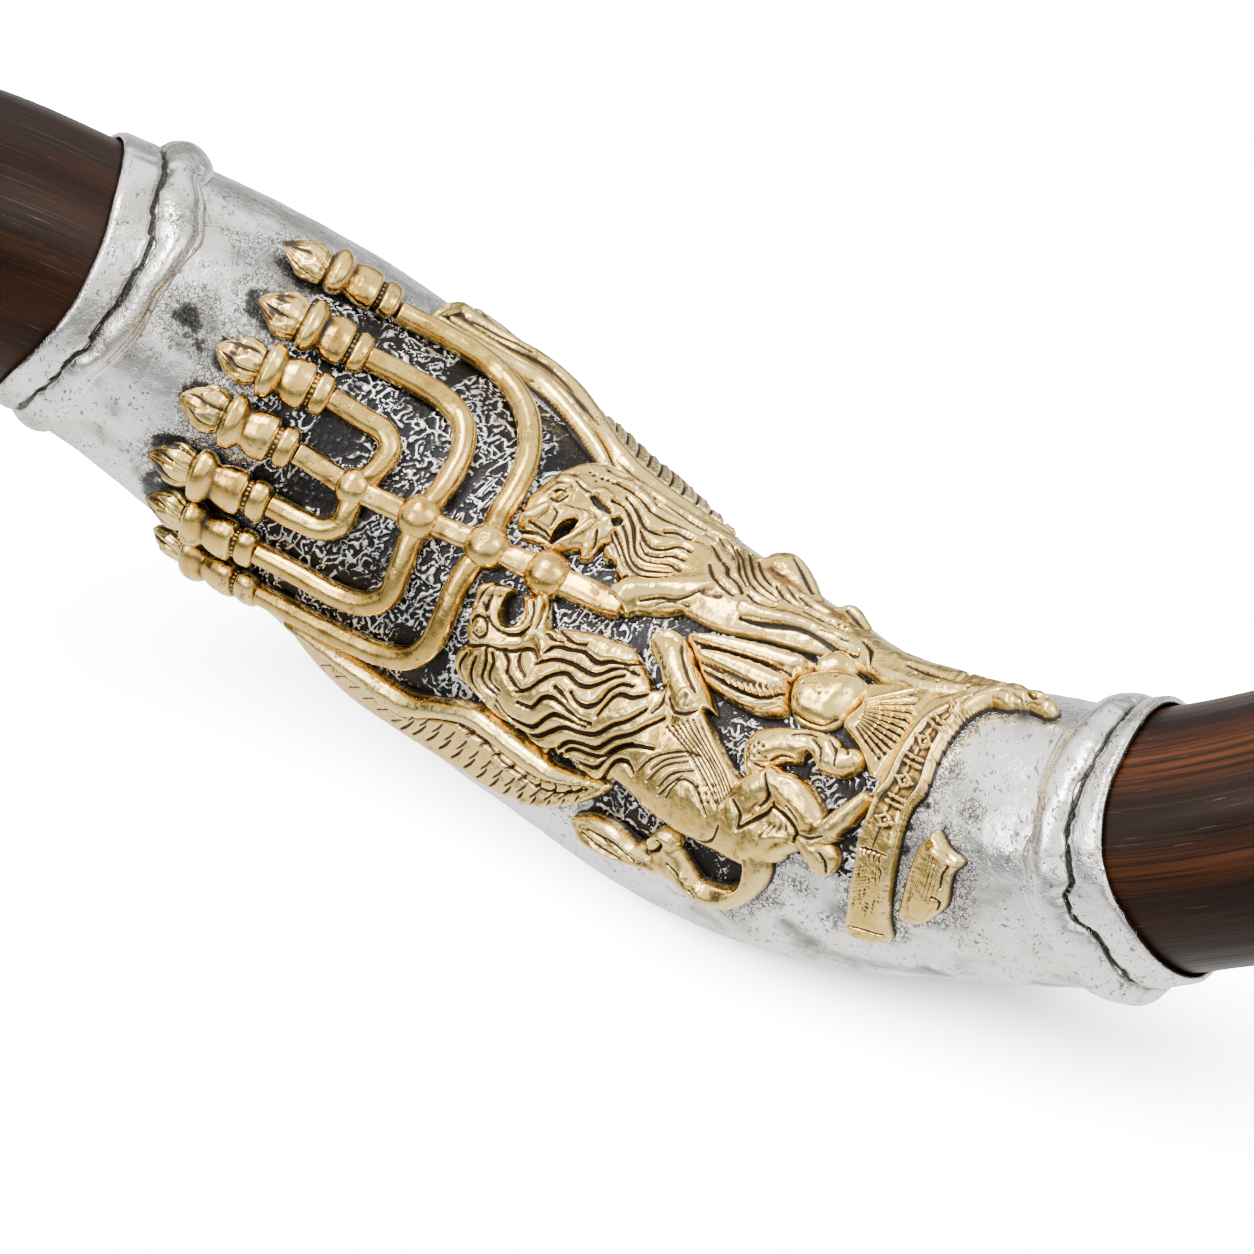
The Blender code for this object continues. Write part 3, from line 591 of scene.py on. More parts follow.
def gilt_material(name, seed, worn=0.0):
    m = Mat(name)
    mm = m.scaled(m.add("ShaderNodeVectorMath", {0: m.coord, 1: (seed * 0.013, seed * 0.007, 0.0)}, operation="ADD").outputs[0],
                  1000.0)
    cav, wide, high = m.attr("cavity"), m.attr("wide"), m.attr("height")
    soft, fine = m.noise(mm, 0.5, 3.0), m.noise(mm, 2.6, 4.0, 0.62)
    c = m.math("ADD", cav, m.math("MULTIPLY", m.math("SUBTRACT", fine, 0.5), 0.11))
    # painted shade by cavity: black in the deep hollows, through mid gold, to pale rubbed gold on the raised tops
    cavity_shade_tone = m.ramp(m.span(c, -0.40, 0.32), [(0.0, (0.010, 0.006, 0.003)), (0.20, (0.030, 0.013, 0.004)),
                                           (0.36, (0.34, 0.155, 0.022)), (0.50, (0.60, 0.355, 0.070)),
                                           (0.68, (0.78, 0.515, 0.125)), (1.0, (0.90, 0.665, 0.235))])
    pale = m.mix(m.math("MULTIPLY", m.span(soft, 0.35, 0.7), 0.30 + worn), cavity_shade_tone, (0.86, 0.655, 0.25))
    # painted shade: the broad hollows are pulled toward a dark brown
    hollow_shaded_gilt = m.mix(m.math("MULTIPLY", m.span(wide, 0.1, -0.7), 0.6), pale, (0.50, 0.25, 0.045))
    pits = m.span(m.voronoi(mm, 0.5), 0.06, 0.12, 1.0, 0.0)
    pits = m.math("MULTIPLY", pits, m.span(m.noise(mm, 0.3, 2.0), 0.56, 0.63))
    scratch = m.span(m.noise(m.scaled(mm, (0.5, 1.6, 1.0)), 1.3, 2.0, 0.5, 0.8), 0.685, 0.72)
    smudge = m.math("MULTIPLY", m.span(m.noise(mm, 0.34, 2.0), 0.60, 0.67), m.span(m.noise(mm, 2.0, 3.0, 0.6), 0.40, 0.56))
    spots = m.math("MULTIPLY", m.math("MAXIMUM", m.math("MAXIMUM", pits, scratch), smudge), 0.66)
    # painted shade: black in the creases, and darker on the low parts of each piece where it meets the sleeve; joined
    # below with the real pits, scratches and smudges
    crease = m.span(c, -0.11, -0.26)
    foot = m.math("MULTIPLY", m.span(high, 1.7, 0.5), m.span(soft, 0.2, 0.55, 0.8, 1.0))
    marks_and_shade = m.math("MAXIMUM", m.math("MAXIMUM", crease, foot), spots, clamp=True)
    colour = m.mix(marks_and_shade, hollow_shaded_gilt, (0.018, 0.012, 0.008))
    rough = m.math("ADD", m.span(soft, 0.3, 0.7, 0.11, 0.23), m.math("MULTIPLY", marks_and_shade, 0.3))
    height = m.math("SUBTRACT", m.math("ADD", m.math("MULTIPLY", soft, 0.6), m.math("MULTIPLY", fine, 0.18)),
                    m.math("MULTIPLY", spots, 0.35))
    return m.out(Base_Color=colour, Metallic=m.span(marks_and_shade, 0.0, 1.0, 1.0, 0.5), Roughness=rough,
                 Normal=m.bump(height, 0.55, 0.00030))


def ground_material():
    m = Mat("oxidised_ground")
    mm = m.scaled(m.coord, 1000.0)
    cav = m.attr("cavity")
    fine, big = m.noise(mm, 2.8, 4.0, 0.6), m.noise(mm, 0.12, 2.0)
    v = m.math("ADD", cav, m.math("MULTIPLY", m.math("SUBTRACT", fine, 0.5), 0.12))
    lit = m.span(m.math("ADD", v, m.attr("pale")), 0.02, 0.15)
    tint = m.mix(m.span(big, 0.45, 0.65), (0.80, 0.80, 0.78), (0.62, 0.54, 0.48))
    colour = m.mix(lit, (0.016, 0.015, 0.015), tint)
    return m.out(Base_Color=colour, Metallic=0.92, Roughness=m.span(fine, 0.3, 0.7, 0.22, 0.42),
                 Normal=m.bump(fine, 0.5, 0.0002))


def horn_material():
    m = Mat("polished_horn")
    g = m.attr("grain", True)
    streak = m.noise(g, 1.0, 5.0, 0.62, 0.35)
    fibre = m.noise(m.scaled(g, (1.6, 14.0, 14.0)), 1.0, 4.0, 0.6)
    hair = m.span(m.noise(m.scaled(g, (3.0, 42.0, 42.0)), 1.0, 2.0, 0.5), 0.60, 0.74)
    broad = m.noise(m.scaled(g, (0.35, 1.1, 1.1)), 1.0, 3.0, 0.5)
    streak_and_sheen_band = m.attr("streak_and_sheen_band")
    base = m.ramp(streak, [(0.25, (0.0030, 0.0012, 0.0006)), (0.46, (0.0095, 0.0034, 0.0014)), (0.60, (0.022, 0.0070, 0.0021)),
                           (0.80, (0.034, 0.0125, 0.0044))])
    base = m.mix(m.math("MULTIPLY", m.span(broad, 0.42, 0.68), 0.7), base, (0.0075, 0.0036, 0.0022))
    # painted sheen with real streaky grain: orange streaks brightened in a band along the keel side, strongest toward
    # the narrow end
    streaky = m.math("MULTIPLY", streak_and_sheen_band, m.span(fibre, 0.34, 0.62), clamp=True)
    base = m.mix(streaky, base, (0.095, 0.027, 0.0065))
    base = m.mix(m.math("MULTIPLY", hair, 0.30), base, (0.085, 0.050, 0.030))
    scar = m.span(m.noise(m.scaled(g, (9.0, 60.0, 60.0)), 1.0, 2.0), 0.70, 0.76)
    base = m.mix(m.math("MULTIPLY", scar, 0.45), base, (0.20, 0.15, 0.11))
    height = m.math("ADD", m.math("MULTIPLY", fibre, 0.5), m.math("MULTIPLY", streak, 0.6))
    rough = m.span(fibre, 0.3, 0.7, 0.30, 0.46)
    return m.out(Base_Color=base, Roughness=rough, Specular_IOR_Level=0.12, Coat_Weight=0.0, Coat_Roughness=0.2,
                 Normal=m.bump(height, 0.5, 0.00035))


def pitch_material():
    m = Mat("dark_pitch")
    mm = m.scaled(m.coord, 1000.0)
    n = m.noise(mm, 0.8, 4.0)
    return m.out(Base_Color=m.mix(n, (0.02, 0.018, 0.016), (0.06, 0.05, 0.042)), Roughness=m.span(n, 0.3, 0.7, 0.5, 0.8),
                 Normal=m.bump(n, 0.6, 0.0004))


SILVER, GROUND, HORN_MAT, PITCH_MAT = silver_material(), ground_material(), horn_material(), pitch_material()
GILT_LAMP = gilt_material("gilt_lamp", 1, 0.05)
GILT_LION = gilt_material("gilt_lions", 2, 0.12)
GILT_BASE = gilt_material("gilt_base", 3, 0.0)


def own(piece, mat, slot, *nodes):
    piece.data.materials.append(mat)
    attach(piece, "root")
    if nodes:
        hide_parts(*nodes)
    return piece


# --------------------------------------------------------------- horn
def build_horn():
    n = 128
    a = np.linspace(0, 2 * np.pi, n, endpoint=False)

    def station(lo, hi, step):
        return list(np.linspace(lo, hi, int((hi - lo) * 80 / step) + 1))
    outer = sorted(set(station(Q_BELL, Q_LEFT + 0.25, 2.0) + station(Q_LEFT + 0.3, Q_RIGHT - 0.3, 10)
                       + station(Q_RIGHT - 0.25, 6.55, 1.7) + station(6.58, Q_TIP, 1.0)))
    outer = np.array(outer)
    inner = np.array(sorted(set(station(Q_BELL, -3.4, 3.0) + station(-3.3, 6.3, 14) + station(6.36, Q_TIP, 1.0)),
                            reverse=True))
    Q, A = np.meshgrid(outer, a, indexing="ij")
    free = np.clip(np.maximum((Q_LEFT - Q) / 0.25, (Q - Q_RIGHT) / 0.25), 0, 1)
    s = Q * 80.0
    wave = value_noise(s / 34.0, A / (2 * np.pi) * 6, 11, 6) * 0.42 + value_noise(s / 15.0, A / (2 * np.pi) * 9, 12, 9) * 0.16
    fibre = value_noise(s / 42.0, A / (2 * np.pi) * 64, 13, 64) * 0.10 + value_noise(s / 26.0, A / (2 * np.pi) * 118, 14, 118) * 0.05
    turn = horn_turn(Q)
    off = np.arctan2(np.sin(A - turn), np.cos(A - turn))
    crease = -0.55 * np.exp(-((off + 0.62) / 0.16) ** 2) - 0.35 * np.exp(-((off - 0.66) / 0.2) ** 2)
    soft_end = np.clip((Q_TIP - 0.5 - Q) / 0.8, 0, 1)
    R = horn_radius(Q, A) + (wave + fibre + crease) * free * soft_end
    # rounded rims
    R -= 0.9 * np.clip(1 - (Q - Q_BELL) * 80 / 2.2, 0, 1) ** 2 + 0.9 * np.clip(1 - (Q_TIP - Q) * 75 / 1.6, 0, 1) ** 2
    rings_out = place(Q, A, R)
    Q2, A2 = np.meshgrid(inner, a, indexing="ij")
    R2 = table(Q2, BORE) * horn_radius(Q2, A2) / table(Q2, HORN)
    R2 += 0.6 * np.clip(1 - (Q2 - Q_BELL) * 80 / 2.0, 0, 1) ** 2 + 0.8 * np.clip(1 - (Q_TIP - Q2) * 75 / 1.6, 0, 1) ** 2
    R2 += value_noise(Q2 * 4, A2 / (2 * np.pi) * 10, 15, 10) * 0.25 * np.clip((5.0 - Q2), 0, 1)
    rings_in = place(Q2, A2, R2)
    verts = np.concatenate([rings_out.reshape(-1, 3), rings_in.reshape(-1, 3)])
    rows = len(outer) + len(inner)
    faces = grid_faces(rows, n, close_u=True, close_v=True)
    Qa, Aa = np.concatenate([Q, Q2]), np.concatenate([A, A2])
    ta = horn_turn(Qa)
    offa = np.arctan2(np.sin(Aa - ta), np.cos(Aa - ta))
    # painted sheen band along the keel side, on real streaks, weak toward the bell
    streak_and_sheen_band = np.exp(-((offa - 0.10) / 0.20) ** 2) + 0.55 * np.exp(-((offa + 0.75) / 0.16) ** 2)
    streak_and_sheen_band = streak_and_sheen_band * np.clip((Qa - 1.0) * 2, 0.12, 1) * (0.75 + 0.25 * value_noise(Qa * 3, Aa * 2, 16))
    ridge = np.exp(-(offa / 0.3) ** 2)
    twist = Aa - 0.10 * Qa
    grain = np.stack([Qa * 0.9, np.cos(twist) * 2.2, np.sin(twist) * 2.2], -1).reshape(-1, 3)
    obj = add_mesh("horn", verts, faces, {"streak_and_sheen_band": streak_and_sheen_band.ravel(), "ridge": ridge.ravel()}, vectors={"grain": grain})
    facing_out(obj)
    return own(obj, HORN_MAT, "horn", "horn_body")


# --------------------------------------------------------------- sleeve, lips and collars
LEFT_RIM = [(-150, -1.5), (-100, -3.2), (-70, -3.4), (-58, -3.2), (-33, -0.8), (-8, 1.5), (13, 1.7), (35, 0.9), (72, 0.8), (120, 0.4), (170, 0.0)]
LEFT_GROOVE = [(-150, 5.5), (-100, 3.6), (-75, 3.8), (-56, 4.0), (-45, 5.3), (-33, 5.9), (-23, 7.9), (-15, 8.0), (-6, 9.1),
               (7, 9.9), (19, 10.3), (27, 9.5), (43, 8.0), (56, 8.4), (71, 7.8), (110, 7.5), (170, 7.0)]
LEFT_EDGE = [(-150, 14.0), (-100, 12.5), (-59, 12.5), (-32, 13.7), (-18, 15.8), (-7, 16.6), (4, 16.4), (12, 17.0), (22, 18.2),
             (32, 19.2), (44, 17.6), (58, 15.3), (74, 16.8), (110, 16.0), (170, 15.2)]
LEFT_TALL = [(-150, 1.9), (-90, 1.7), (-40, 1.8), (0, 2.0), (30, 2.5), (60, 2.2), (85, 3.5), (120, 2.6), (170, 2.2)]
RIGHT_RIM = [(-150, 0.0), (-76, -1.2), (-53, -0.5), (-31, 0.5), (-13, 2.1), (-1, 2.5), (13, 2.0), (31, 0.5), (43, -1.1),
             (67, -2.7), (90, -3.0), (130, -1.5)]
RIGHT_GROOVE = [(-150, 7.0), (-82, 6.3), (-69, 7.4), (-53, 6.8), (-38, 7.0), (-30, 7.7), (-26, 9.7), (-16, 10.3), (-9, 8.7),
                (-3, 8.6), (8, 8.7), (17, 7.7), (27, 6.7), (36, 5.1), (48, 3.6), (61, 2.4), (71, 2.0), (100, 3.0), (150, 6.0)]
RIGHT_EDGE = [(-150, 15.5), (-80, 15.0), (-65, 16.0), (-55, 15.2), (-43, 15.9), (-29, 17.5), (-13, 18.2), (-2, 17.9), (10, 15.8),
              (21, 15.0), (32, 15.0), (43, 14.5), (55, 14.0), (68, 12.4), (100, 12.6), (150, 14.5)]
RIGHT_TALL = [(-150, 2.4), (-95, 3.3), (-75, 3.4), (-50, 2.2), (-20, 1.9), (20, 1.9), (60, 1.8), (85, 2.0), (120, 2.0)]


def rim_noise(a, seed, size=0.35):
    t = a / (2 * np.pi)
    return size * value_noise(t * 60, t * 0 + 0.5, seed) * 0.6 + size * value_noise(t * 22, t * 0 + 0.5, seed + 1)


def build_sleeve():
    front = np.radians(np.arange(-102, 102, 1.0))
    back = np.radians(np.linspace(102, 258, 46, endpoint=False))
    a = np.concatenate([front, back])
    nu = 346
    u = np.linspace(0, 1, nu)
    U, A = np.meshgrid(u, a, indexing="ij")
    lo = Q_LEFT + (around(A, LEFT_RIM) + rim_noise(A, 21, 0.22)) / MMQ
    hi = Q_RIGHT - (around(A, RIGHT_RIM) + rim_noise(A, 23, 0.22)) / MMQ
    Q = lo + (hi - lo) * U
    dl, dr = (Q - Q_LEFT) * MMQ, (Q_RIGHT - Q) * MMQ
    el, er = (Q - lo) * MMQ, (hi - Q) * MMQ
    S, T = Q * MMQ, A * MMA
    h = np.zeros(Q.shape)
    for d, e, groove, seed in ((dl, el, around(A, LEFT_GROOVE), 31), (dr, er, around(A, RIGHT_GROOVE), 35)):
        course = groove + 0.5 * value_noise(T / 1.9, S * 0 + 0.4, seed)
        lip = 0.55 * np.clip(e / 1.0, 0, 1) ** 0.5 * np.clip((course - d) / 0.8, 0, 1)
        lip += 0.10 * value_noise(S / 3.0, T / 3.0, seed + 2) * np.clip(e, 0, 1) * (d < course)
        h += lip - 0.75 * np.exp(-((d - course) / 0.55) ** 2)
    h += 0.16 * value_noise(S / 11.0, T / 11.0, 41) + 0.085 * value_noise(S / 4.0, T / 4.0, 42)
    h += 0.035 * value_noise(S / 1.7, T / 1.7, 43)
    patina_and_shade = np.zeros(Q.shape)
    # painted shade with patina: the silver goes dark in a soft halo round every relief and round the lamp
    for field, H in drawn:
        fi = (S - field.lo[0]) / field.step
        fj = (T - field.lo[1]) / field.step
        near = (np.clip((H + 0.5) / 0.5, 0, 1))
        soft = np.maximum(blur(near, 1.1 / field.step), 0.95 * blur(near, 3.4 / field.step))
        soft = np.pad(soft, 1)
        ii, jj = np.clip(np.round(fi).astype(int) + 1, 0, soft.shape[0] - 1), np.clip(np.round(fj).astype(int) + 1, 0, soft.shape[1] - 1)
        patina_and_shade = np.maximum(patina_and_shade, soft[ii, jj])
    # dark blotches: patina, except the cluster at sheet x 903 to 955, y 806 to 850, which is painted shadow in the gap
    # beside the ribbon
    for x, y, r, k in ((190, 318, 30, 1.05), (176, 300, 14, 0.8), (205, 345, 22, 0.85), (262, 250, 30, 0.6), (975, 812, 14, 0.5), (903, 848, 13, 1.1),
                       (912, 828, 11, 1.1), (928, 806, 10, 1.0), (944, 828, 8, 0.9), (955, 850, 8, 0.8), (225, 195, 10, 0.7),
                       (205, 385, 16, 0.6), (150, 470, 14, 0.5), (852, 890, 16, 0.6), (765, 895, 22, 0.5), (960, 770, 14, 0.35),
                       (1040, 720, 16, 0.3), (830, 920, 18, 0.4), (120, 300, 14, 0.15),
                       (600, 820, 16, 0.3), (800, 885, 22, 0.35), (660, 900, 26, 0.2), (232, 232, 12, 0.3)):
        s0, t0 = flat([(x, y)], 0.0)[0]
        patina_and_shade = np.maximum(patina_and_shade, k * np.exp(-(((S - s0) ** 2 + (T - t0) ** 2) / (r * 0.2) ** 2)))
    cavity = np.minimum(0, h - 0.1) * 1.0
    h = h - 0.35 * np.clip(shade_at(S, T, ground_mask), 0, 1)
    outer = on_sleeve(Q, A, h)
    inner_u = np.concatenate([[1.0, 0.997], np.linspace(0.988, 0.012, 44), [0.003, 0.0]])
    Ui, Ai = np.meshgrid(inner_u, a, indexing="ij")
    Qi = (Q_LEFT + around(Ai, LEFT_RIM) / MMQ) * (1 - Ui) + (Q_RIGHT - around(Ai, RIGHT_RIM) / MMQ) * Ui
    inner = on_sleeve(Qi, Ai, -WALL + 0.1)
    verts = np.concatenate([outer.reshape(-1, 3), inner.reshape(-1, 3)])
    faces = grid_faces(nu + len(inner_u), len(a), close_u=True, close_v=True)
    z = np.zeros(inner.shape[:2]).ravel()
    obj = add_mesh("sleeve", verts, faces, {"patina_and_shade": np.concatenate([patina_and_shade.ravel(), z]),
                                            "cavity": np.concatenate([cavity.ravel(), z])})
    facing_out(obj)
    return own(obj, SILVER, "silver", "sleeve_shell")


def build_collar(name, node, left):
    n = 540
    a = np.linspace(-np.pi, np.pi, n, endpoint=False)
    groove, edge, tall = ((LEFT_GROOVE, LEFT_EDGE, LEFT_TALL) if left else (RIGHT_GROOVE, RIGHT_EDGE, RIGHT_TALL))
    seed = 51 if left else 57
    x = np.concatenate([[0.0], np.linspace(0.01, 0.99, 22), [1.0, 1.0, 0.5, 0.0]])
    X, A = np.meshgrid(x, a, indexing="ij")
    g = around(A, groove) + 0.55 + 0.35 * value_noise(A * MMA / 2.2, X * 0 + 0.3, seed)
    e = around(A, edge) + 0.30 * value_noise(A * MMA / 3.1, X * 0 + 0.7, seed + 1)
    d = g + (e - g) * X
    bulk = around(A, tall) * (1 + 0.10 * value_noise(A * MMA / 9.0, X * 2, seed + 2))
    prof = np.sin(np.pi * np.clip(X, 0.0, 1.0)) ** 0.42 * (0.86 + 0.14 * np.cos((X - 0.4) * 4.0))
    fold = 0.35 * np.exp(-((X - 0.78 - 0.08 * np.sin(3 * A + seed)) / 0.07) ** 2) * (np.sin(2 * A + 1.1) > -0.3)
    h = bulk * prof - fold + 0.12 * value_noise(A * MMA / 4.0, X * 3, seed + 3)
    h[0] = -0.3
    h[-4] = 0.15
    h[-3:] = -0.6
    Q = Q_LEFT + d / MMQ if left else Q_RIGHT - d / MMQ
    verts = on_sleeve(Q, A, h).reshape(-1, 3)
    faces = grid_faces(len(x), n, close_u=True, close_v=True)
    cav = h - blur(h, 3.0)
    cav[0] = cav[1] = -0.3
    cav[-5:] = -0.25
    obj = add_mesh(name, verts, faces, {"patina_and_shade": np.zeros(h.size), "cavity": (cav * 0.7).ravel()})
    facing_out(obj)
    return own(obj, SILVER, "silver", node)


# --------------------------------------------------------------- the lamp
def surface_frame(q, a):
    t, f, u = section_axes(q)
    out = np.cos(a)[..., None] * f + np.sin(a)[..., None] * u
    return out


def bar(name, rows, lift=3.0, sides=30, step=0.45, square=0.0, seed=0, dents=0.06, sink=0.9):
    """A rounded bar lying on the sleeve; rows are sheet x, y, half width and height in mm."""
    rows = np.asarray(rows, float)
    dev = flat(rows[:, :2], lift)
    path = smooth_path(np.column_stack([dev, rows[:, 2:]]), step)
    q, a = path[:, 0] / MMQ, path[:, 1] / MMA
    base = on_sleeve(q, a, 0.0)
    along = unit(np.gradient(base, axis=0))
    out = surface_frame(q, a)
    side = unit(np.cross(out, along))
    phi = np.linspace(0, 2 * np.pi, sides, endpoint=False)
    power = 1.0 - square
    cx = np.sign(np.cos(phi)) * np.abs(np.cos(phi)) ** power
    cy = np.sign(np.sin(phi)) * np.abs(np.sin(phi)) ** power
    run = np.concatenate([[0], np.cumsum(np.linalg.norm(np.diff(base, axis=0), axis=1))])
    RR, PP = np.meshgrid(run, phi, indexing="ij")
    dent = dents * (value_noise(RR / 2.6 + seed * 7, PP / (2 * np.pi) * 6, 60 + seed, 6)
                    + 0.6 * value_noise(RR / 6.0 + seed * 3, PP / (2 * np.pi) * 4, 80 + seed, 4))
    w, tall = path[:, 2], path[:, 3]
    half = (tall + sink) / 2
    mid = half - sink
    rings = (base[:, None] + out[:, None] * (mid[:, None, None] + (half[:, None] * cy[None] + dent * np.abs(cy))[..., None])
             + side[:, None] * (w[:, None] * cx[None] + dent * np.sign(cx) * np.abs(cx))[..., None])
    height = mid[:, None] + half[:, None] * cy[None]
    m, k = rings.shape[:2]
    verts = np.concatenate([rings.reshape(-1, 3), [rings[0].mean(0)], [rings[-1].mean(0)]])
    faces = grid_faces(m, k, close_v=True)
    tri0 = np.array([[m * k, (j + 1) % k, j, j] for j in range(k)])
    tri1 = np.array([[m * k + 1, (m - 1) * k + j, (m - 1) * k + (j + 1) % k, (m - 1) * k + (j + 1) % k] for j in range(k)])
    widths = np.repeat(w[:, None], k, 1)
    cav = np.clip((widths - blur(widths, 3.0)), -0.5, 0.4) + dent * 1.2
    extra = [0.0, 0.0]
    return mesh_with_caps(name, verts, faces, m, k, {"cavity": np.concatenate([cav.ravel(), extra]),
                                                    "wide": np.zeros(m * k + 2),
                                                    "height": np.concatenate([height.ravel(), extra])})


def mesh_with_caps(name, verts, quads, m, k, attrs):
    """A tube of m rings of k points whose last two vertices are the cap centres."""
    mesh = bpy.data.meshes.new(name)
    caps = [(m * k, (j + 1) % k, j) for j in range(k)]
    caps += [(m * k + 1, (m - 1) * k + j, (m - 1) * k + (j + 1) % k) for j in range(k)]
    mesh.from_pydata(to_ground(verts).tolist(), [], [tuple(f) for f in quads.tolist()] + caps)
    mesh.validate()
    for key, values in attrs.items():
        att = mesh.attributes.new(key, "FLOAT", "POINT")
        att.data.foreach_set("value", np.asarray(values, np.float32).ravel())
    mesh.shade_smooth()
    obj = bpy.data.objects.new(name, mesh)
    bpy.context.scene.collection.objects.link(obj)
    return facing_out(obj)


ARMS = {
    "arm_inner_upper": [(331, 397), (364, 418), (384, 430), (390, 446), (384, 460), (370, 475)],
    "arm_inner_lower": [(268, 507), (295, 521), (319, 530), (338, 525), (348, 507)],
    "arm_middle_upper": [(369, 355), (402, 371), (443, 394), (463, 418), (463, 449), (449, 478), (434, 498)],
    "arm_middle_lower": [(254, 555), (295, 577), (331, 597), (361, 606), (385, 598), (397, 573), (409, 541)],
    "arm_outer_upper": [(401, 308), (443, 329), (479, 350), (504, 370), (524, 398), (532, 429), (527, 462),
                        (514, 489), (499, 513)],
    "arm_outer_lower": [(256, 597), (295, 618), (342, 642), (378, 657), (406, 660), (427, 646), (441, 618),
                        (452, 592), (466, 568)],
}
KNOPS = [(352, 488, 4.0), (418, 517, 4.7), (485, 545, 4.7), (546, 572, 4.8)]
STEM = [(296, 453), (352, 488), (418, 517), (485, 545), (546, 572), (580, 587), (602, 597), (622, 603)]
CUPS = [((330, 266), (401, 301)), ((304, 321), (370, 355)), ((262, 367), (331, 397)), ((224, 418), (295, 452)),
        ((192, 473), (267, 507)), ((185, 520), (254, 555)), ((186, 556), (256, 597))]
FLAMES = [(308, 253), (266, 301), (230, 354), (193, 405), (163, 464), (158, 508), (163, 540)]
CUP = [(0.0, 2.6), (0.02, 3.6), (0.06, 4.2), (0.13, 4.45), (0.20, 4.35), (0.235, 4.0), (0.25, 3.2), (0.275, 3.05), (0.30, 3.2),
       (0.315, 4.3), (0.345, 4.8), (0.45, 4.95), (0.55, 4.8), (0.62, 4.4), (0.675, 3.95), (0.70, 3.9), (0.735, 4.5), (0.79, 5.35),
       (0.86, 5.8), (0.925, 5.7), (0.97, 5.0), (1.0, 3.4)]


def turned(name, start, end, out, profile, flatten, lift, sides=56, rows=64, petals=0, twist=0.0, depth=0.0, seed=0, dents=0.09,
           beads=None):
    """A turned, dented and flattened body from start to end; profile rows are fraction and radius."""
    axis = end - start
    axis = axis - out * float(axis @ out) * 0.7
    length = float(np.linalg.norm(axis))
    z = axis / length
    o = unit(out - z * float(out @ z))
    s = np.cross(z, o)
    f = np.linspace(0, 1, rows)
    r = np.interp(f, [p[0] for p in profile], [p[1] for p in profile])
    r = np.convolve(np.pad(r, 1, mode="edge"), [0.2, 0.6, 0.2], "valid")
    phi = np.linspace(0, 2 * np.pi, sides, endpoint=False)
    F, P = np.meshgrid(f, phi, indexing="ij")
    R = np.repeat(r[:, None], sides, 1)
    cut = np.zeros(R.shape)
    if petals:
        ph = petals * P + twist * F + 0.9 * np.sin(5.0 * F + seed) + 0.5 * np.sin(2 * P + seed)
        cut = -depth * np.exp(-(np.arctan2(np.sin(ph), np.cos(ph)) / 0.50) ** 2) * np.sin(np.pi * np.clip(F * 0.9 + 0.12, 0, 1))
        # outer leaves stop short of the tip
        tips = 0.52 + 0.13 * np.cos(ph + 1.6)
        cut += 0.42 * np.clip((tips - F) / 0.05, 0, 1)
        fine = 3 * petals * P + twist * 2 * F
        cut -= 0.16 * depth * (0.5 + 0.5 * np.cos(fine)) * (F > 0.1)
    if beads:
        cut += beads[2] * np.exp(-((F - beads[0]) / beads[1]) ** 2) * (0.35 + 0.65 * np.cos(beads[3] * P))
    n = dents * (value_noise(F * length / 3.0 + seed, P / (2 * np.pi) * 6, 100 + seed, 6)
                 + 0.5 * value_noise(F * length / 1.3 + seed, P / (2 * np.pi) * 11, 120 + seed, 11))
    R2 = np.maximum(R + cut + n, 0.15)
    Y = R2 * np.sin(P) * flatten
    pts = (start + out * lift)[None, None] + z * (F * length)[..., None] + s * (R2 * np.cos(P))[..., None] + o * Y[..., None]
    height = lift + Y
    cav = (R - blur(R, 4.0)) * 0.45 + cut * 0.9 + n
    verts = np.concatenate([pts.reshape(-1, 3), [pts[0].mean(0)], [pts[-1].mean(0)]])
    return mesh_with_caps(name, verts, grid_faces(rows, sides, close_v=True), rows, sides,
                          {"cavity": np.concatenate([cav.ravel(), [0, 0]]), "wide": np.zeros(rows * sides + 2),
                           "height": np.concatenate([height.ravel(), [2, 2]])})


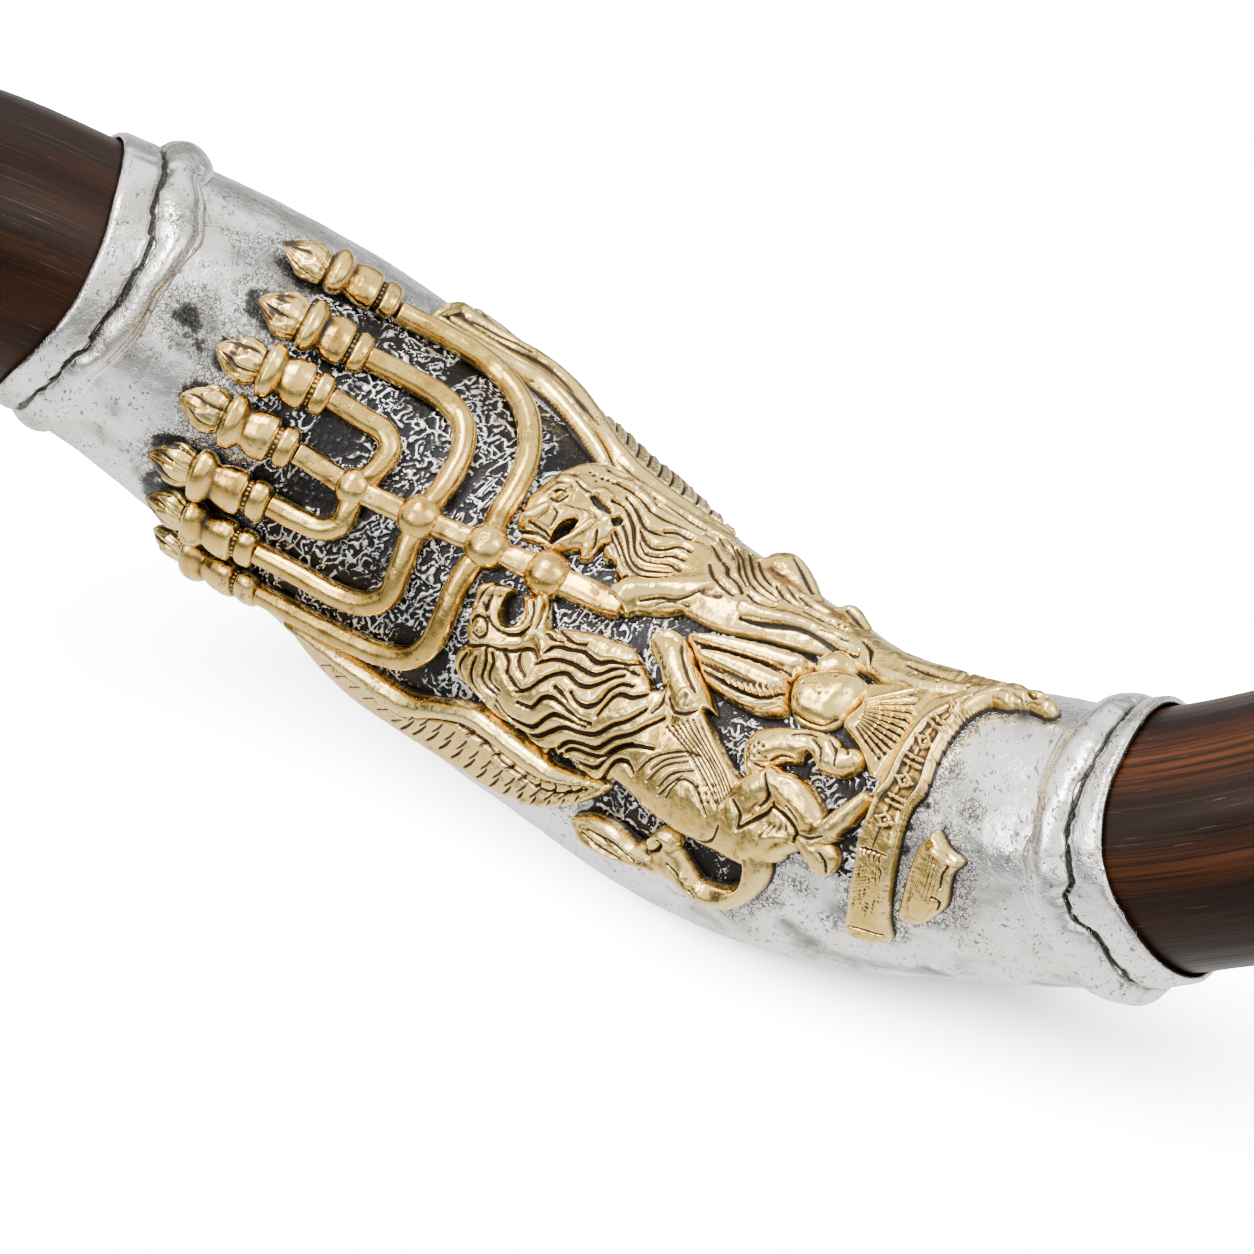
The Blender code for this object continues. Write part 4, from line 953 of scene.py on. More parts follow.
def build_lamp():
    made = []
    for i, (name, pts) in enumerate(ARMS.items()):
        rows = [(x, y, 2.5, 4.2) for x, y in pts]
        k = KNOPS[{"inner": 0, "middle": 1, "outer": 2}[name.split("_")[1]]]
        rows.append((rows[-1][0] * 0.45 + k[0] * 0.55, rows[-1][1] * 0.45 + k[1] * 0.55, 2.5, 3.4))
        made.append(own(bar("lamp_" + name, rows, seed=i + 1), GILT_LAMP, "gilt", name))
    stem = own(bar("lamp_stem", [(x, y, 2.4 if i < 4 else 2.9, 3.7) for i, (x, y) in enumerate(STEM)],
                   square=0.35, seed=9, dents=0.12), GILT_LAMP, "gilt",
               "menorah_stem")
    for i, (x, y, r) in enumerate(KNOPS):
        q, a = from_sheet([(x, y)], 3.5)
        out = surface_frame(q, a)[0]
        base = on_sleeve(q, a, 0.0)[0]
        q2, a2 = from_sheet([(x + 6, y + 3)], 3.5)
        way = unit(on_sleeve(q2, a2, 0.0)[0] - base)
        prof = [(t, r * math.sin(math.pi * min(max(t, 0.02), 0.98)) ** 1.0) for t in np.linspace(0, 1, 25)]
        prof = [((1 - math.cos(math.pi * t)) / 2, r * math.sin(math.pi * t)) for t in np.linspace(0, 1, 25)]
        ball = turned("lamp_knop_%d" % (i + 1), base - way * r, base + way * r, out, prof, 0.92, 1.5, seed=20 + i, rows=48,
                      dents=0.10)
        own(ball, GILT_LAMP, "gilt")
    for i in range(7):
        q, a = from_sheet([CUPS[i][1], CUPS[i][0], FLAMES[i]], 3.2)
        p = on_sleeve(q, a, 0.0)
        out = surface_frame(q, a)
        mid = unit(out[0] + out[1])
        cup = turned("lamp_cup_%d" % (i + 1), p[0], p[1], mid, CUP, 0.72, 2.0, sides=72, rows=84, seed=30 + i, dents=0.12,
                     beads=(0.275, 0.014, 0.45, 18))
        own(cup, GILT_LAMP, "gilt", "cup_%d" % (i + 1))
        way = unit(unit(p[2] - p[1]) + 1.2 * unit(p[1] - p[0]))
        prof = [(0.0, 2.6), (0.08, 3.6), (0.22, 4.35), (0.40, 4.55), (0.58, 4.1), (0.75, 3.1), (0.90, 1.8), (1.0, 0.6)]
        flame = turned("lamp_flame_%d" % (i + 1), p[1] - way * 0.4, p[1] + way * 9.6, unit(out[1] + out[2]), prof, 0.70, 1.8,
                       sides=96, rows=72, petals=6, twist=2.0 + 0.5 * (i % 3), depth=0.8, seed=50 + i, dents=0.22)
        own(flame, GILT_LAMP, "gilt", "flame_%d" % (i + 1))
    return made


# --------------------------------------------------------------- the reliefs
PX = 0.185          # mm on the sleeve for one sheet unit, where it faces the viewer


def line(points, w=None, h=None, lift=3.0):
    """Sheet points (x, y, and half width and height where they change) to a stroke path in mm."""
    p = [tuple(r) for r in points]
    n = len(p)
    xy = np.array([r[:2] for r in p], float)

    def spread(v, k):
        if v is None:
            return np.array([r[k] for r in p], float)
        v = np.atleast_1d(np.asarray(v, float))
        return np.interp(np.linspace(0, 1, n), np.linspace(0, 1, len(v)), v) if len(v) > 1 else np.full(n, v[0])
    rows = np.column_stack([xy, spread(w, 2), spread(h, 3)])
    if n > 2:
        rows = smooth_path(rows, 7.0)
    way = np.gradient(rows[:, :2], axis=0)
    way /= np.maximum(np.linalg.norm(way, axis=1, keepdims=True), 1e-6)
    off = np.column_stack([-way[:, 1], way[:, 0]]) * np.maximum(rows[:, 2:3], 3.0)
    dev = flat(rows[:, :2], lift)
    wide = np.linalg.norm(flat(rows[:, :2] + off, lift) - flat(rows[:, :2] - off, lift), axis=1) / 2
    scale = np.clip(wide / np.maximum(rows[:, 2], 3.0), PX * 0.9, PX * 1.7)
    return np.column_stack([dev, rows[:, 2] * scale, rows[:, 3]])


def beyond(points, extra=3.5, lift=4.0):
    """Points on the upper outline, carried over it to the far side."""
    return flat(points, lift) + np.array([0.0, extra])


def patch(points, step, margin=4.0):
    dev = flat(points, 3.0)
    return Field(dev.min(0) - margin, dev.max(0) + margin, step)


def groove(f, points, w=1.7, depth=0.9, shoulder=3.2, soft=0.35):
    """A dark cut with rounded shoulders."""
    w = np.atleast_1d(w)
    if shoulder:
        f.stroke(line(points, np.array([0.6, 1, 0.6]) * shoulder * max(w) / 1.7, soft), 1.0, "cut")
    f.stroke(line(points, np.concatenate([[0.55], [1.0] * 3, [0.55]]) * max(w) if len(w) == 1 else w, depth), 0.7, "cut")


def ridge(f, points, w, h, power=0.6):
    f.stroke(line(points, w, h), power, "add")


def mass(f, points, power=0.5, blend=1.2):
    f.stroke(line(points), power, "max", blend)


def pad(f, points, height, edge=2.0, power=0.6):
    f.area(flat(points, 3.0), height, edge, power)


def ball(f, x, y, w, h, power=0.5, mode="add"):
    f.stroke(line([(x, y), (x + 0.6, y)], w, h), power, mode)


def mane(f, lines, w=1.8, depth=1.15):
    """Wavy strands: the cuts between them, and a rounded rise between neighbouring cuts."""
    for pts in lines:
        groove(f, pts, w, depth, 4.2, 0.42)


def upper_lion():
    f = patch([(512, 455), (700, 480), (870, 600), (1062, 700), (900, 690), (700, 660), (560, 610), (620, 560)], 0.235, 6.0)
    front = [(517, 516), (527, 511), (538, 506), (546, 497), (552, 489), (557, 480), (565, 471), (579, 464), (592, 463), (608, 468),
             (625, 474), (645, 482), (665, 493), (690, 508), (715, 524), (740, 541), (756, 553)]
    sky = [(766, 560), (785, 573), (802, 587), (818, 600), (836, 612), (852, 622), (868, 633), (884, 643), (905, 652), (930, 662),
           (960, 672), (990, 681), (1018, 687)]
    under = [(1010, 699), (985, 696), (960, 692), (935, 690), (912, 687), (896, 681), (878, 675), (866, 665), (857, 657), (835, 645),
             (802, 632), (773, 626), (750, 621), (730, 613), (706, 607), (690, 607), (664, 609), (640, 609), (625, 613), (612, 607),
             (605, 598), (604, 588), (612, 581), (624, 577), (621, 566), (614, 552), (610, 541), (600, 546), (590, 557), (584, 557),
             (580, 549), (570, 550), (556, 550), (549, 542), (556, 537), (549, 532), (540, 530), (527, 523)]
    f.area(np.vstack([flat(front, 3.0), beyond(sky), flat(under, 3.0)]), 3.5, 2.2, 0.5)
    # body, neck and haunch
    mass(f, [(640, 512, 36, 4.3), (668, 538, 40, 4.8), (705, 562, 38, 4.9), (742, 586, 34, 4.8), (790, 606, 28, 4.3),
             (835, 626, 24, 3.9), (872, 643, 18, 3.5)], 0.42)
    mass(f, [(545, 500, 17, 4.2), (575, 494, 30, 4.9), (606, 494, 34, 5.0), (645, 520, 34, 4.9)], 0.42)
    mass(f, [(527, 516, 9, 3.6), (545, 509, 19, 4.6), (572, 508, 30, 5.0), (600, 520, 24, 4.9)], 0.45)
    mass(f, [(553, 546, 4, 2.8), (571, 541, 8, 3.9), (592, 532, 13, 4.5), (606, 530, 14, 4.8)], 0.5)
    mass(f, [(585, 552, 6, 2.8), (590, 540, 10, 4.0)], 0.5)
    mass(f, [(610, 548, 9, 4.0), (618, 562, 9, 3.8), (624, 572, 7, 3.4)], 0.5)
    # under jaw stub in front of the open mouth
    mass(f, [(523, 533, 4, 2.0), (536, 536, 5, 2.4), (549, 543, 5, 2.8)], 0.5)
    # arm and paw on the shaft
    mass(f, [(735, 592, 13, 4.2), (716, 588, 16, 4.9), (692, 588, 13, 4.8), (668, 588, 12, 4.8), (645, 590, 13, 5.0),
             (627, 592, 16, 5.4), (616, 592, 11, 4.8)], 0.45)
    mass(f, [(640, 604, 6, 3.4), (668, 604, 6, 3.3), (694, 600, 5, 3.0), (712, 601, 5, 3.0)], 0.5)
    # hind leg along the silhouette
    mass(f, [(852, 640, 15, 3.8), (884, 656, 17, 4.2), (905, 664, 13, 3.9), (940, 672, 13, 3.8), (985, 681, 12, 3.4),
             (1018, 688, 12, 3.2)], 0.45)
    # a wing edge rising behind the back
    mass(f, [(764, 566, 9, 4.6), (784, 569, 16, 6.3), (802, 584, 13, 5.8), (818, 602, 7, 4.2)], 0.45)
    mass(f, [(838, 613, 6, 4.2), (852, 617, 10, 5.2), (867, 630, 7, 4.2)], 0.45)
    # open parts
    pad_hole = f.hole
    pad_hole(line([(556, 537), (564, 530), (574, 524)], (5, 6.4, 3), 0.0))
    pad_hole(line([(513, 540), (524, 546), (540, 545)], (4, 5, 3), 0.0))
    pad_hole(line([(577, 562), (590, 568), (606, 568)], (6, 9.0, 9), 0.0))
    pad_hole(line([(600, 562), (609, 566)], (5, 7), 0.0))
    f.H = np.maximum(f.H, SINK)
    # crown cap, brow, muzzle
    ridge(f, [(566, 470), (590, 468), (612, 478), (634, 490)], (8, 12, 10, 6), 0.55)
    ridge(f, [(561, 481), (572, 487), (584, 496)], (5, 5, 4), 0.7)
    ridge(f, [(548, 497), (556, 492), (566, 492)], (3, 4.4, 3), 0.65)
    groove(f, [(575, 488), (582, 495), (590, 500)], 1.8, 0.8)
    groove(f, [(550, 502), (558, 506), (567, 501)], 1.3, 0.6, 2.4)
    groove(f, [(553, 496), (559, 494.5), (565, 497)], 1.3, 0.6, 2.0)
    ball(f, 558.5, 499.5, 3.0, 0.75)
    ball(f, 558, 495.4, 1.6, 0.6, 0.6, "cut")
    ridge(f, [(523, 517), (533, 516), (545, 511)], (5, 6, 4), 0.7)
    ball(f, 521, 520, 3.0, 0.9, 0.6, "cut")
    groove(f, [(528, 521), (536, 525), (546, 531), (552, 536)], 1.4, 0.7, 2.8)
    groove(f, [(553, 512), (557, 517), (551, 527)], 1.2, 0.4, 2.4)
    ridge(f, [(553, 546), (566, 541), (580, 533), (590, 528)], (3, 4, 4), 0.75)
    for k in range(4):
        x = 563 + 6.5 * k
        groove(f, [(x, 510 + 1.6 * k), (x + 8, 512 + 1.6 * k), (x + 15, 518 + 1.6 * k)], 1.0, 0.28, 0)
    # ear
    f.stroke(line([(592, 503), (602, 512), (608, 518)], (3.5, 6.0, 2.4), (1.2, 1.7, 1.0)), 0.8, "cut")
    ball(f, 616, 525, 5.0, 1.7, 0.7, "cut")
    ridge(f, [(588, 500), (600, 498), (611, 505)], (2.6, 3.2, 2.4), 0.6)
    ridge(f, [(594, 514), (603, 521), (611, 527)], (3, 4, 3), 0.45)
    for p in ((594, 487), (600, 485), (606, 487), (611, 490), (588, 478), (592, 481)):
        ball(f, p[0], p[1], 1.8, 0.45, 0.8, "cut")
    # jaw fur
    groove(f, [(597, 534), (595, 544), (588, 554)], 1.4, 0.6)
    groove(f, [(611, 536), (617, 548), (622, 563)], 1.4, 0.7)
    groove(f, [(604, 542), (612, 549), (616, 560)], 1.2, 0.6, 2.4)
    # mane
    mane(f, [
        [(607, 477), (619, 483), (634, 487), (650, 496), (663, 506), (679, 515), (700, 528), (722, 540)],
        [(652, 502), (657, 511), (666, 515), (679, 521), (691, 527), (706, 536), (716, 545)],
        [(616, 490), (630, 497), (641, 506), (650, 517), (662, 524), (680, 531), (700, 540)],
        [(625, 504), (633, 513), (638, 522), (644, 532), (657, 538), (676, 542), (700, 548), (712, 552)],
        [(611, 506), (622, 511), (629, 522), (633, 533), (634, 546), (638, 556), (647, 562), (658, 565), (670, 568), (680, 575)],
        [(640, 534), (644, 543), (652, 551), (665, 553), (679, 552), (690, 558)],
        [(615, 534), (621, 545), (625, 555), (629, 564), (638, 574), (653, 579), (672, 578)],
        [(622, 528), (627, 540), (629, 552), (634, 563), (644, 570), (660, 573), (672, 574)],
        [(640, 545), (646, 555), (658, 559), (672, 560), (684, 566)],
        [(664, 536), (676, 537), (690, 543)],
    ], 1.9, 1.25)
    mane(f, [
        [(719, 540), (723, 550), (731, 557), (733, 566)],
        [(711, 550), (718, 564), (726, 573), (728, 581), (738, 590), (742, 599)],
        [(737, 550), (742, 562), (744, 574), (749, 587), (759, 597), (776, 606)],
        [(709, 571), (713, 583), (723, 593), (733, 600)],
        [(727, 541), (734, 552), (738, 564), (739, 578), (747, 592)],
        [(749, 556), (751, 570), (755, 583), (767, 595), (779, 603)],
        [(758, 566), (761, 576), (768, 587), (777, 594)],
        [(776, 590), (782, 600), (795, 609), (806, 612)],
        [(788, 592), (796, 602), (805, 609)],
        [(748, 600), (758, 607), (774, 611)],
        [(800, 600), (812, 610), (826, 617)],
        [(806, 616), (820, 622), (836, 629), (850, 636)],
    ], 1.6, 0.95)
    # belly folds and haunch
    ridge(f, [(742, 610), (768, 619), (800, 627), (834, 642)], (4, 6, 6, 4), 0.8)
    groove(f, [(740, 618), (756, 622), (773, 625), (802, 631), (835, 645), (858, 655)], 1.8, 1.1)
    groove(f, [(864, 646), (871, 655), (870, 664)], 1.6, 0.9)
    groove(f, [(908, 668), (930, 676), (952, 682)], 1.8, 0.9)
    groove(f, [(820, 634), (832, 637), (848, 644)], 1.3, 0.6, 2.4)
    groove(f, [(790, 573), (803, 588), (812, 599)], 1.8, 1.1)
    groove(f, [(846, 617), (856, 625), (862, 631)], 1.5, 0.8)
    groove(f, [(958, 683), (968, 678), (975, 670)], 1.5, 0.9)
    groove(f, [(998, 690), (1010, 684), (1020, 683)], 1.5, 0.9)
    for k, (x, y) in enumerate(((822, 625), (830, 626), (838, 627), (845, 630), (856, 634), (915, 676), (938, 683), (968, 688), (985, 690))):
        ball(f, x, y, 1.8, 0.6, 0.8, "cut")
    # arm: wrist lines, knuckles
    groove(f, [(611, 596), (617, 603), (623, 609)], 1.6, 0.8)
    groove(f, [(611, 583), (607, 590), (606, 598)], 1.4, 0.6)
    groove(f, [(640, 602), (660, 599), (680, 600), (700, 595)], 1.2, 0.7, 2.6)
    groove(f, [(650, 607), (668, 602), (688, 605)], 1.2, 0.5, 2.0)
    f.stroke(line([(704, 595), (712, 596), (720, 600)], (3.5, 5, 3), 0.8), 0.8, "cut")
    f.roughen(0.055, 1.3, 70)
    f.roughen(0.035, 0.6, 170)
    own(relief_object("lion_upper_relief", f, 0.16), GILT_LION, "gilt", "lion_upper")


def lower_lion():
    f = patch([(448, 575), (560, 600), (700, 625), (745, 740), (872, 780), (870, 885), (760, 880), (600, 800), (450, 690)], 0.235, 3.0)
    pad(f, [(474, 584), (495, 582), (506, 590), (534, 592), (546, 598), (545, 612), (541, 625), (572, 626), (598, 631), (617, 637),
            (636, 645), (643, 662), (652, 680), (672, 690), (700, 695), (712, 712), (722, 742), (736, 775), (745, 790), (741, 815),
            (750, 838), (758, 858), (745, 870), (718, 856), (700, 845), (682, 838), (660, 823), (640, 804), (615, 785), (606, 777),
            (594, 783), (580, 774), (560, 770), (543, 757), (526, 741), (505, 724), (488, 708), (470, 694), (455, 678), (449, 663),
            (454, 650), (465, 642), (462, 630), (468, 615), (472, 600)], 3.7, 2.2, 0.5)
    # head
    mass(f, [(482, 596, 9, 3.8), (484, 612, 17, 4.8), (492, 632, 27, 5.2), (500, 650, 36, 5.2)], 0.42)
    mass(f, [(484, 590, 10, 4.2), (497, 590, 8, 4.4), (510, 592, 6, 4.2)], 0.45)
    mass(f, [(541, 600, 8, 4.4), (539, 616, 9, 4.7), (534, 634, 14, 4.9)], 0.45)
    # mane and chest
    mass(f, [(474, 668, 24, 4.6), (510, 684, 40, 5.5), (556, 696, 48, 5.7), (606, 706, 48, 5.3), (650, 712, 30, 4.8)], 0.40)
    mass(f, [(560, 640, 14, 4.4), (595, 648, 17, 4.6), (630, 664, 19, 4.6)], 0.42)
    mass(f, [(596, 762, 20, 3.8), (622, 750, 26, 4.6), (646, 742, 26, 4.8)], 0.45)
    # flank and rump
    mass(f, [(628, 768, 20, 4.2), (660, 784, 36, 4.9), (698, 800, 42, 5.0), (736, 826, 34, 4.9), (760, 838, 25, 4.6)], 0.42)
    # foreleg
    mass(f, [(660, 643, 15, 4.6), (671, 656, 21, 5.2), (679, 678, 19, 5.2), (688, 700, 21, 5.0), (694, 728, 22, 4.6)], 0.45)
    pad(f, [(648, 640), (655, 631), (672, 627), (686, 636), (692, 655), (700, 672), (706, 690), (704, 706), (690, 716), (668, 712),
            (660, 700), (664, 684), (660, 664), (652, 652)], 4.4, 1.8, 0.5)
    mass(f, [(700, 722, 12, 4.2), (716, 752, 13, 4.2), (732, 782, 12, 4.2)], 0.45)
    # hind leg
    mass(f, [(738, 812, 15, 4.8), (756, 793, 15, 5.2), (776, 783, 14, 5.3), (794, 788, 14, 5.1), (806, 806, 13, 4.7),
             (816, 822, 10, 4.2)], 0.45)
    mass(f, [(748, 850, 15, 4.6), (768, 836, 17, 5.0), (786, 836, 10, 4.4)], 0.45)
    mass(f, [(806, 842, 14, 4.6), (816, 854, 17, 4.7), (816, 866, 13, 4.0)], 0.45)
    mass(f, [(815, 838, 13, 4.6), (830, 828, 14, 4.6), (844, 814, 12, 4.3), (862, 797, 8, 3.6)], 0.45)
    pad(f, [(734, 806), (742, 790), (756, 777), (774, 768), (794, 774), (810, 794), (822, 818), (820, 832), (804, 838), (800, 850),
            (782, 858), (756, 864), (740, 850)], 4.0, 2.0, 0.5)
    mass(f, [(734, 806, 15, 4.7), (752, 788, 17, 5.2), (772, 780, 16, 5.3)], 0.45, 0.6)
    mass(f, [(778, 784, 15, 5.2), (796, 800, 17, 5.1), (810, 822, 14, 4.5)], 0.45, 0.6)
    # openings
    f.hole(line([(512, 602), (513, 609), (513, 616)], (9.5, 11.5, 9.5), 0.0))
    f.hole(line([(638, 648), (647, 660), (656, 676), (656, 687)], (3.5, 6, 6.5, 4), 0.0))
    f.hole(line([(548, 757), (560, 764), (574, 770)], (6, 8.0, 6), 0.0))
    f.hole(line([(840, 838), (850, 832), (858, 838)], (4, 6, 6), 0.0))
    f.hole(line([(706, 711), (713, 720), (722, 738), (733, 760), (740, 776)], (3, 5, 6, 6, 3), 0.0))
    # face
    ridge(f, [(500, 590), (496, 604), (498, 620), (508, 630), (522, 630), (531, 618), (531, 602)], (3, 3.6, 3.6, 3), 0.75)
    groove(f, [(479, 604), (484, 594), (494, 584), (500, 583)], 1.2, 0.7, 2.6)
    groove(f, [(491, 601), (489, 612), (494, 622), (502, 630), (514, 635), (526, 633), (534, 626)], 1.5, 0.8)
    groove(f, [(485, 603), (490, 609)], 1.8, 0.6, 2.0)
    groove(f, [(474, 622), (480, 616), (487, 618), (491, 626), (489, 635), (482, 637), (475, 632)], 1.3, 0.8, 2.6)
    ball(f, 482, 627, 4.2, 0.8)
    ball(f, 481, 629.5, 2.0, 0.9, 0.7, "cut")
    ridge(f, [(474, 616), (482, 611), (491, 615)], (3, 4, 2), 0.7)
    ridge(f, [(468, 636), (486, 642), (508, 644), (528, 642)], (4, 4, 4), 0.35)
    groove(f, [(464, 645), (476, 646), (490, 645), (506, 650), (520, 651), (533, 649), (540, 660)], 1.5, 0.8)
    groove(f, [(534, 602), (536, 612), (533, 624)], 1.2, 0.5, 2.2)
    groove(f, [(543, 594), (546, 604), (543, 618), (539, 629)], 1.4, 0.7, 2.8)
    ridge(f, [(541, 634), (545, 646), (547, 660)], (4, 5, 2), 0.5)
    # mane
    mane(f, [
        [(556, 627), (566, 636), (576, 644), (589, 646)],
        [(546, 653), (556, 647), (573, 650), (586, 653), (599, 663), (614, 663), (631, 666), (641, 663)],
        [(539, 664), (556, 660), (573, 664), (586, 671), (599, 676), (612, 671), (624, 669), (640, 676)],
        [(521, 691), (534, 689), (546, 681), (559, 675), (571, 675), (581, 684), (593, 688), (606, 684), (616, 679), (626, 677)],
        [(523, 701), (538, 706), (548, 698), (559, 698), (571, 708), (583, 719), (596, 724)],
        [(576, 693), (583, 703), (593, 707), (604, 703), (612, 693), (624, 686), (636, 688)],
        [(602, 716), (612, 704), (622, 696), (637, 699), (650, 696)],
        [(501, 699), (510, 714), (523, 722), (536, 726), (548, 719), (559, 714), (571, 718), (581, 724), (590, 727)],
        [(498, 704), (506, 719), (520, 731), (538, 736), (553, 731), (568, 727), (583, 732), (599, 734), (616, 726), (632, 721), (650, 711)],
        [(511, 729), (526, 741), (543, 749), (556, 749), (569, 742), (583, 744), (598, 748), (616, 739), (636, 734), (652, 726), (665, 719)],
        [(546, 752), (559, 754), (573, 749), (589, 754), (604, 756), (619, 748), (636, 744)],
        [(568, 757), (583, 764), (598, 767), (609, 757), (624, 748), (639, 746), (656, 749)],
        [(583, 774), (594, 782), (606, 772), (619, 761), (631, 762), (637, 773)],
        [(560, 687), (567, 694), (573, 702)],
        [(512, 672), (519, 682), (526, 690)],
    ], 1.9, 1.3)
    mane(f, [
        [(457, 650), (452, 663), (457, 678), (470, 694), (488, 708)],
        [(468, 653), (461, 666), (466, 682), (477, 697), (494, 712)],
        [(479, 656), (474, 672), (477, 686), (488, 699)],
        [(490, 648), (490, 662), (486, 676), (492, 686), (502, 694)],
        [(496, 652), (498, 662), (494, 672), (496, 682), (506, 690)],
        [(507, 652), (512, 662), (511, 672)],
        [(522, 654), (522, 664), (530, 676)],
        [(548, 634), (556, 641), (566, 643)],
    ], 1.7, 1.0)
    # shoulder and chest fur
    groove(f, [(650, 690), (662, 688), (672, 684)], 1.5, 0.8)
    groove(f, [(655, 640), (661, 633), (672, 629)], 1.4, 0.6)
    groove(f, [(683, 640), (684, 660), (690, 680), (698, 696)], 1.4, 0.7)
    groove(f, [(668, 690), (664, 704), (655, 715)], 1.4, 0.7)
    groove(f, [(672, 700), (676, 712), (690, 716), (700, 712)], 1.6, 0.8)
    ridge(f, [(684, 700), (690, 694), (696, 699), (692, 706)], (2.6, 3.4, 2.6), 0.6)
    for k in range(7):
        t = k / 6.0
        groove(f, [(668 + 34 * t, 728 - 8 * t), (686 + 24 * t, 748 - 6 * t), (708 + 18 * t, 780 - 8 * t), (722 + 12 * t, 806 - 14 * t)],
               1.1, 0.55, 2.2)
    for a in ([(640, 772), (657, 757), (684, 752), (700, 756)], [(652, 780), (668, 766), (690, 762)],
              [(664, 786), (676, 774), (697, 771)], [(655, 770), (668, 760), (690, 756)],
              [(671, 797), (684, 780), (698, 785), (707, 802), (712, 814)], [(664, 794), (675, 784), (686, 776)],
              [(684, 836), (700, 842), (716, 838), (724, 824)]):
        groove(f, a, 1.2, 0.6, 2.6)
    for k in range(9):
        x, y = 702 + 7 * (k % 3) + 2 * (k // 3), 786 + 8 * (k // 3)
        ball(f, x, y, 2.2, 0.5, 0.8, "cut")
    # hind leg lines
    groove(f, [(738, 800), (744, 812), (742, 826)], 1.8, 1.0)
    groove(f, [(762, 806), (770, 798), (772, 786), (770, 776)], 1.7, 1.0)
    groove(f, [(742, 828), (756, 820), (770, 812), (776, 802)], 1.8, 1.1)
    groove(f, [(776, 806), (790, 818), (798, 832), (794, 842)], 1.9, 1.2)
    groove(f, [(790, 806), (797, 816), (800, 824)], 1.5, 0.7)
    for k in range(4):
        groove(f, [(764 + 8 * k, 836 - 2 * k), (772 + 6 * k, 826 - k)], 1.0, 0.4, 2.0)
    groove(f, [(800, 834), (812, 838), (826, 836)], 1.4, 0.6)
    groove(f, [(806, 862), (812, 872), (820, 876)], 1.4, 0.8)
    groove(f, [(822, 852), (826, 862), (824, 874)], 1.4, 0.8)
    groove(f, [(832, 838), (838, 846), (836, 856)], 1.4, 0.7)
    f.roughen(0.055, 1.3, 71)
    f.roughen(0.035, 0.6, 171)
    own(relief_object("lion_lower_relief", f, 0.16), GILT_LION, "gilt", "lion_lower")

    g = patch([(738, 720), (860, 725), (862, 780), (742, 785)], 0.24, 3.0)
    mass(g, [(752, 764, 13, 4.0), (761, 747, 19, 4.8), (781, 743, 19, 5.0), (806, 744, 18, 4.8), (828, 748, 16, 4.7)], 0.45)
    mass(g, [(822, 757, 15, 4.6), (838, 760, 16, 4.6), (850, 757, 12, 4.0)], 0.45)
    g.hole(line([(800, 764), (807, 757), (812, 768)], (4, 5.5, 5), 0.0))
    for a in ([(816, 742), (824, 752), (822, 764)], [(832, 742), (838, 754), (836, 768)], [(846, 746), (850, 756)],
              [(770, 760), (782, 756), (794, 758)], [(756, 764), (766, 768), (772, 764)], [(796, 738), (808, 736), (820, 740)]):
        groove(g, a, 1.4, 0.8)
    for k in range(8):
        ball(g, 752 + 5 * (k % 4), 746 + 9 * (k // 4) + (k % 2) * 3, 1.8, 0.5, 0.8, "cut")
    g.roughen(0.07, 1.2, 72)
    own(relief_object("lion_lower_far_leg_relief", g, 0.16), GILT_LION, "gilt", "lion_lower_far_leg")


def tail():
    f = patch([(562, 808), (700, 820), (765, 850), (760, 915), (660, 900)], 0.24, 3.0)
    mass(f, [(748, 846, 12, 4.2), (753, 868, 12, 4.3), (746, 890, 12, 4.3), (728, 900, 11, 4.2), (706, 900, 10, 4.0),
             (688, 889, 10, 3.8), (676, 872, 10, 3.7), (668, 856, 10, 3.7), (660, 846, 10, 3.6)], 0.45)
    mass(f, [(668, 842, 9, 3.8), (658, 838, 9, 3.9), (651, 846, 8, 3.5), (656, 854, 8, 3.5)], 0.45)
    pad(f, [(568, 818), (590, 817), (614, 829), (634, 846), (656, 856), (676, 876), (660, 876), (630, 868), (602, 857), (580, 842)],
        3.2, 1.6)
    mass(f, [(640, 858, 9, 3.2), (662, 868, 11, 3.6), (682, 882, 10, 3.8)], 0.45)
    f.hole(line([(698, 858), (705, 863), (712, 868)], (17, 19.5, 17), 0.0))
    ridge(f, [(570, 819), (590, 820), (612, 832), (632, 850), (650, 858)], (2.4, 3.4, 3.4, 2.4), 0.9)
    ridge(f, [(572, 822), (582, 840), (602, 854), (630, 864), (654, 870)], (2.4, 3.4, 3.4, 3), 0.6)
    ridge(f, [(584, 826), (602, 838), (624, 854)], (2.2, 3.4, 2), 0.6)
    groove(f, [(580, 826), (598, 834), (616, 846), (634, 860)], 1.3, 0.7)
    groove(f, [(582, 832), (598, 846), (618, 858), (634, 864)], 1.3, 0.7)
    groove(f, [(588, 827), (604, 840), (622, 855)], 1.1, 0.6, 2.0)
    groove(f, [(650, 852), (658, 850), (662, 843), (658, 840)], 1.6, 1.2)
    for k in range(6):
        groove(f, [(596 + 8 * k, 848 + 3 * k), (602 + 8 * k, 842 + 4 * k)], 0.9, 0.35, 0)
    ridge(f, [(742, 850), (746, 872), (738, 892), (716, 900), (694, 892)], (3, 4, 4, 3), 0.5)
    for p in ((686, 868), (684, 876), (690, 884), (698, 888), (683, 860)):
        ball(f, p[0], p[1], 3.0, 0.5)
    groove(f, [(668, 862), (678, 872), (686, 884), (698, 894)], 1.1, 0.4, 2.0)
    f.roughen(0.06, 1.2, 73)
    own(relief_object("tail_relief", f, 0.16), GILT_LION, "gilt", "tail_lower")


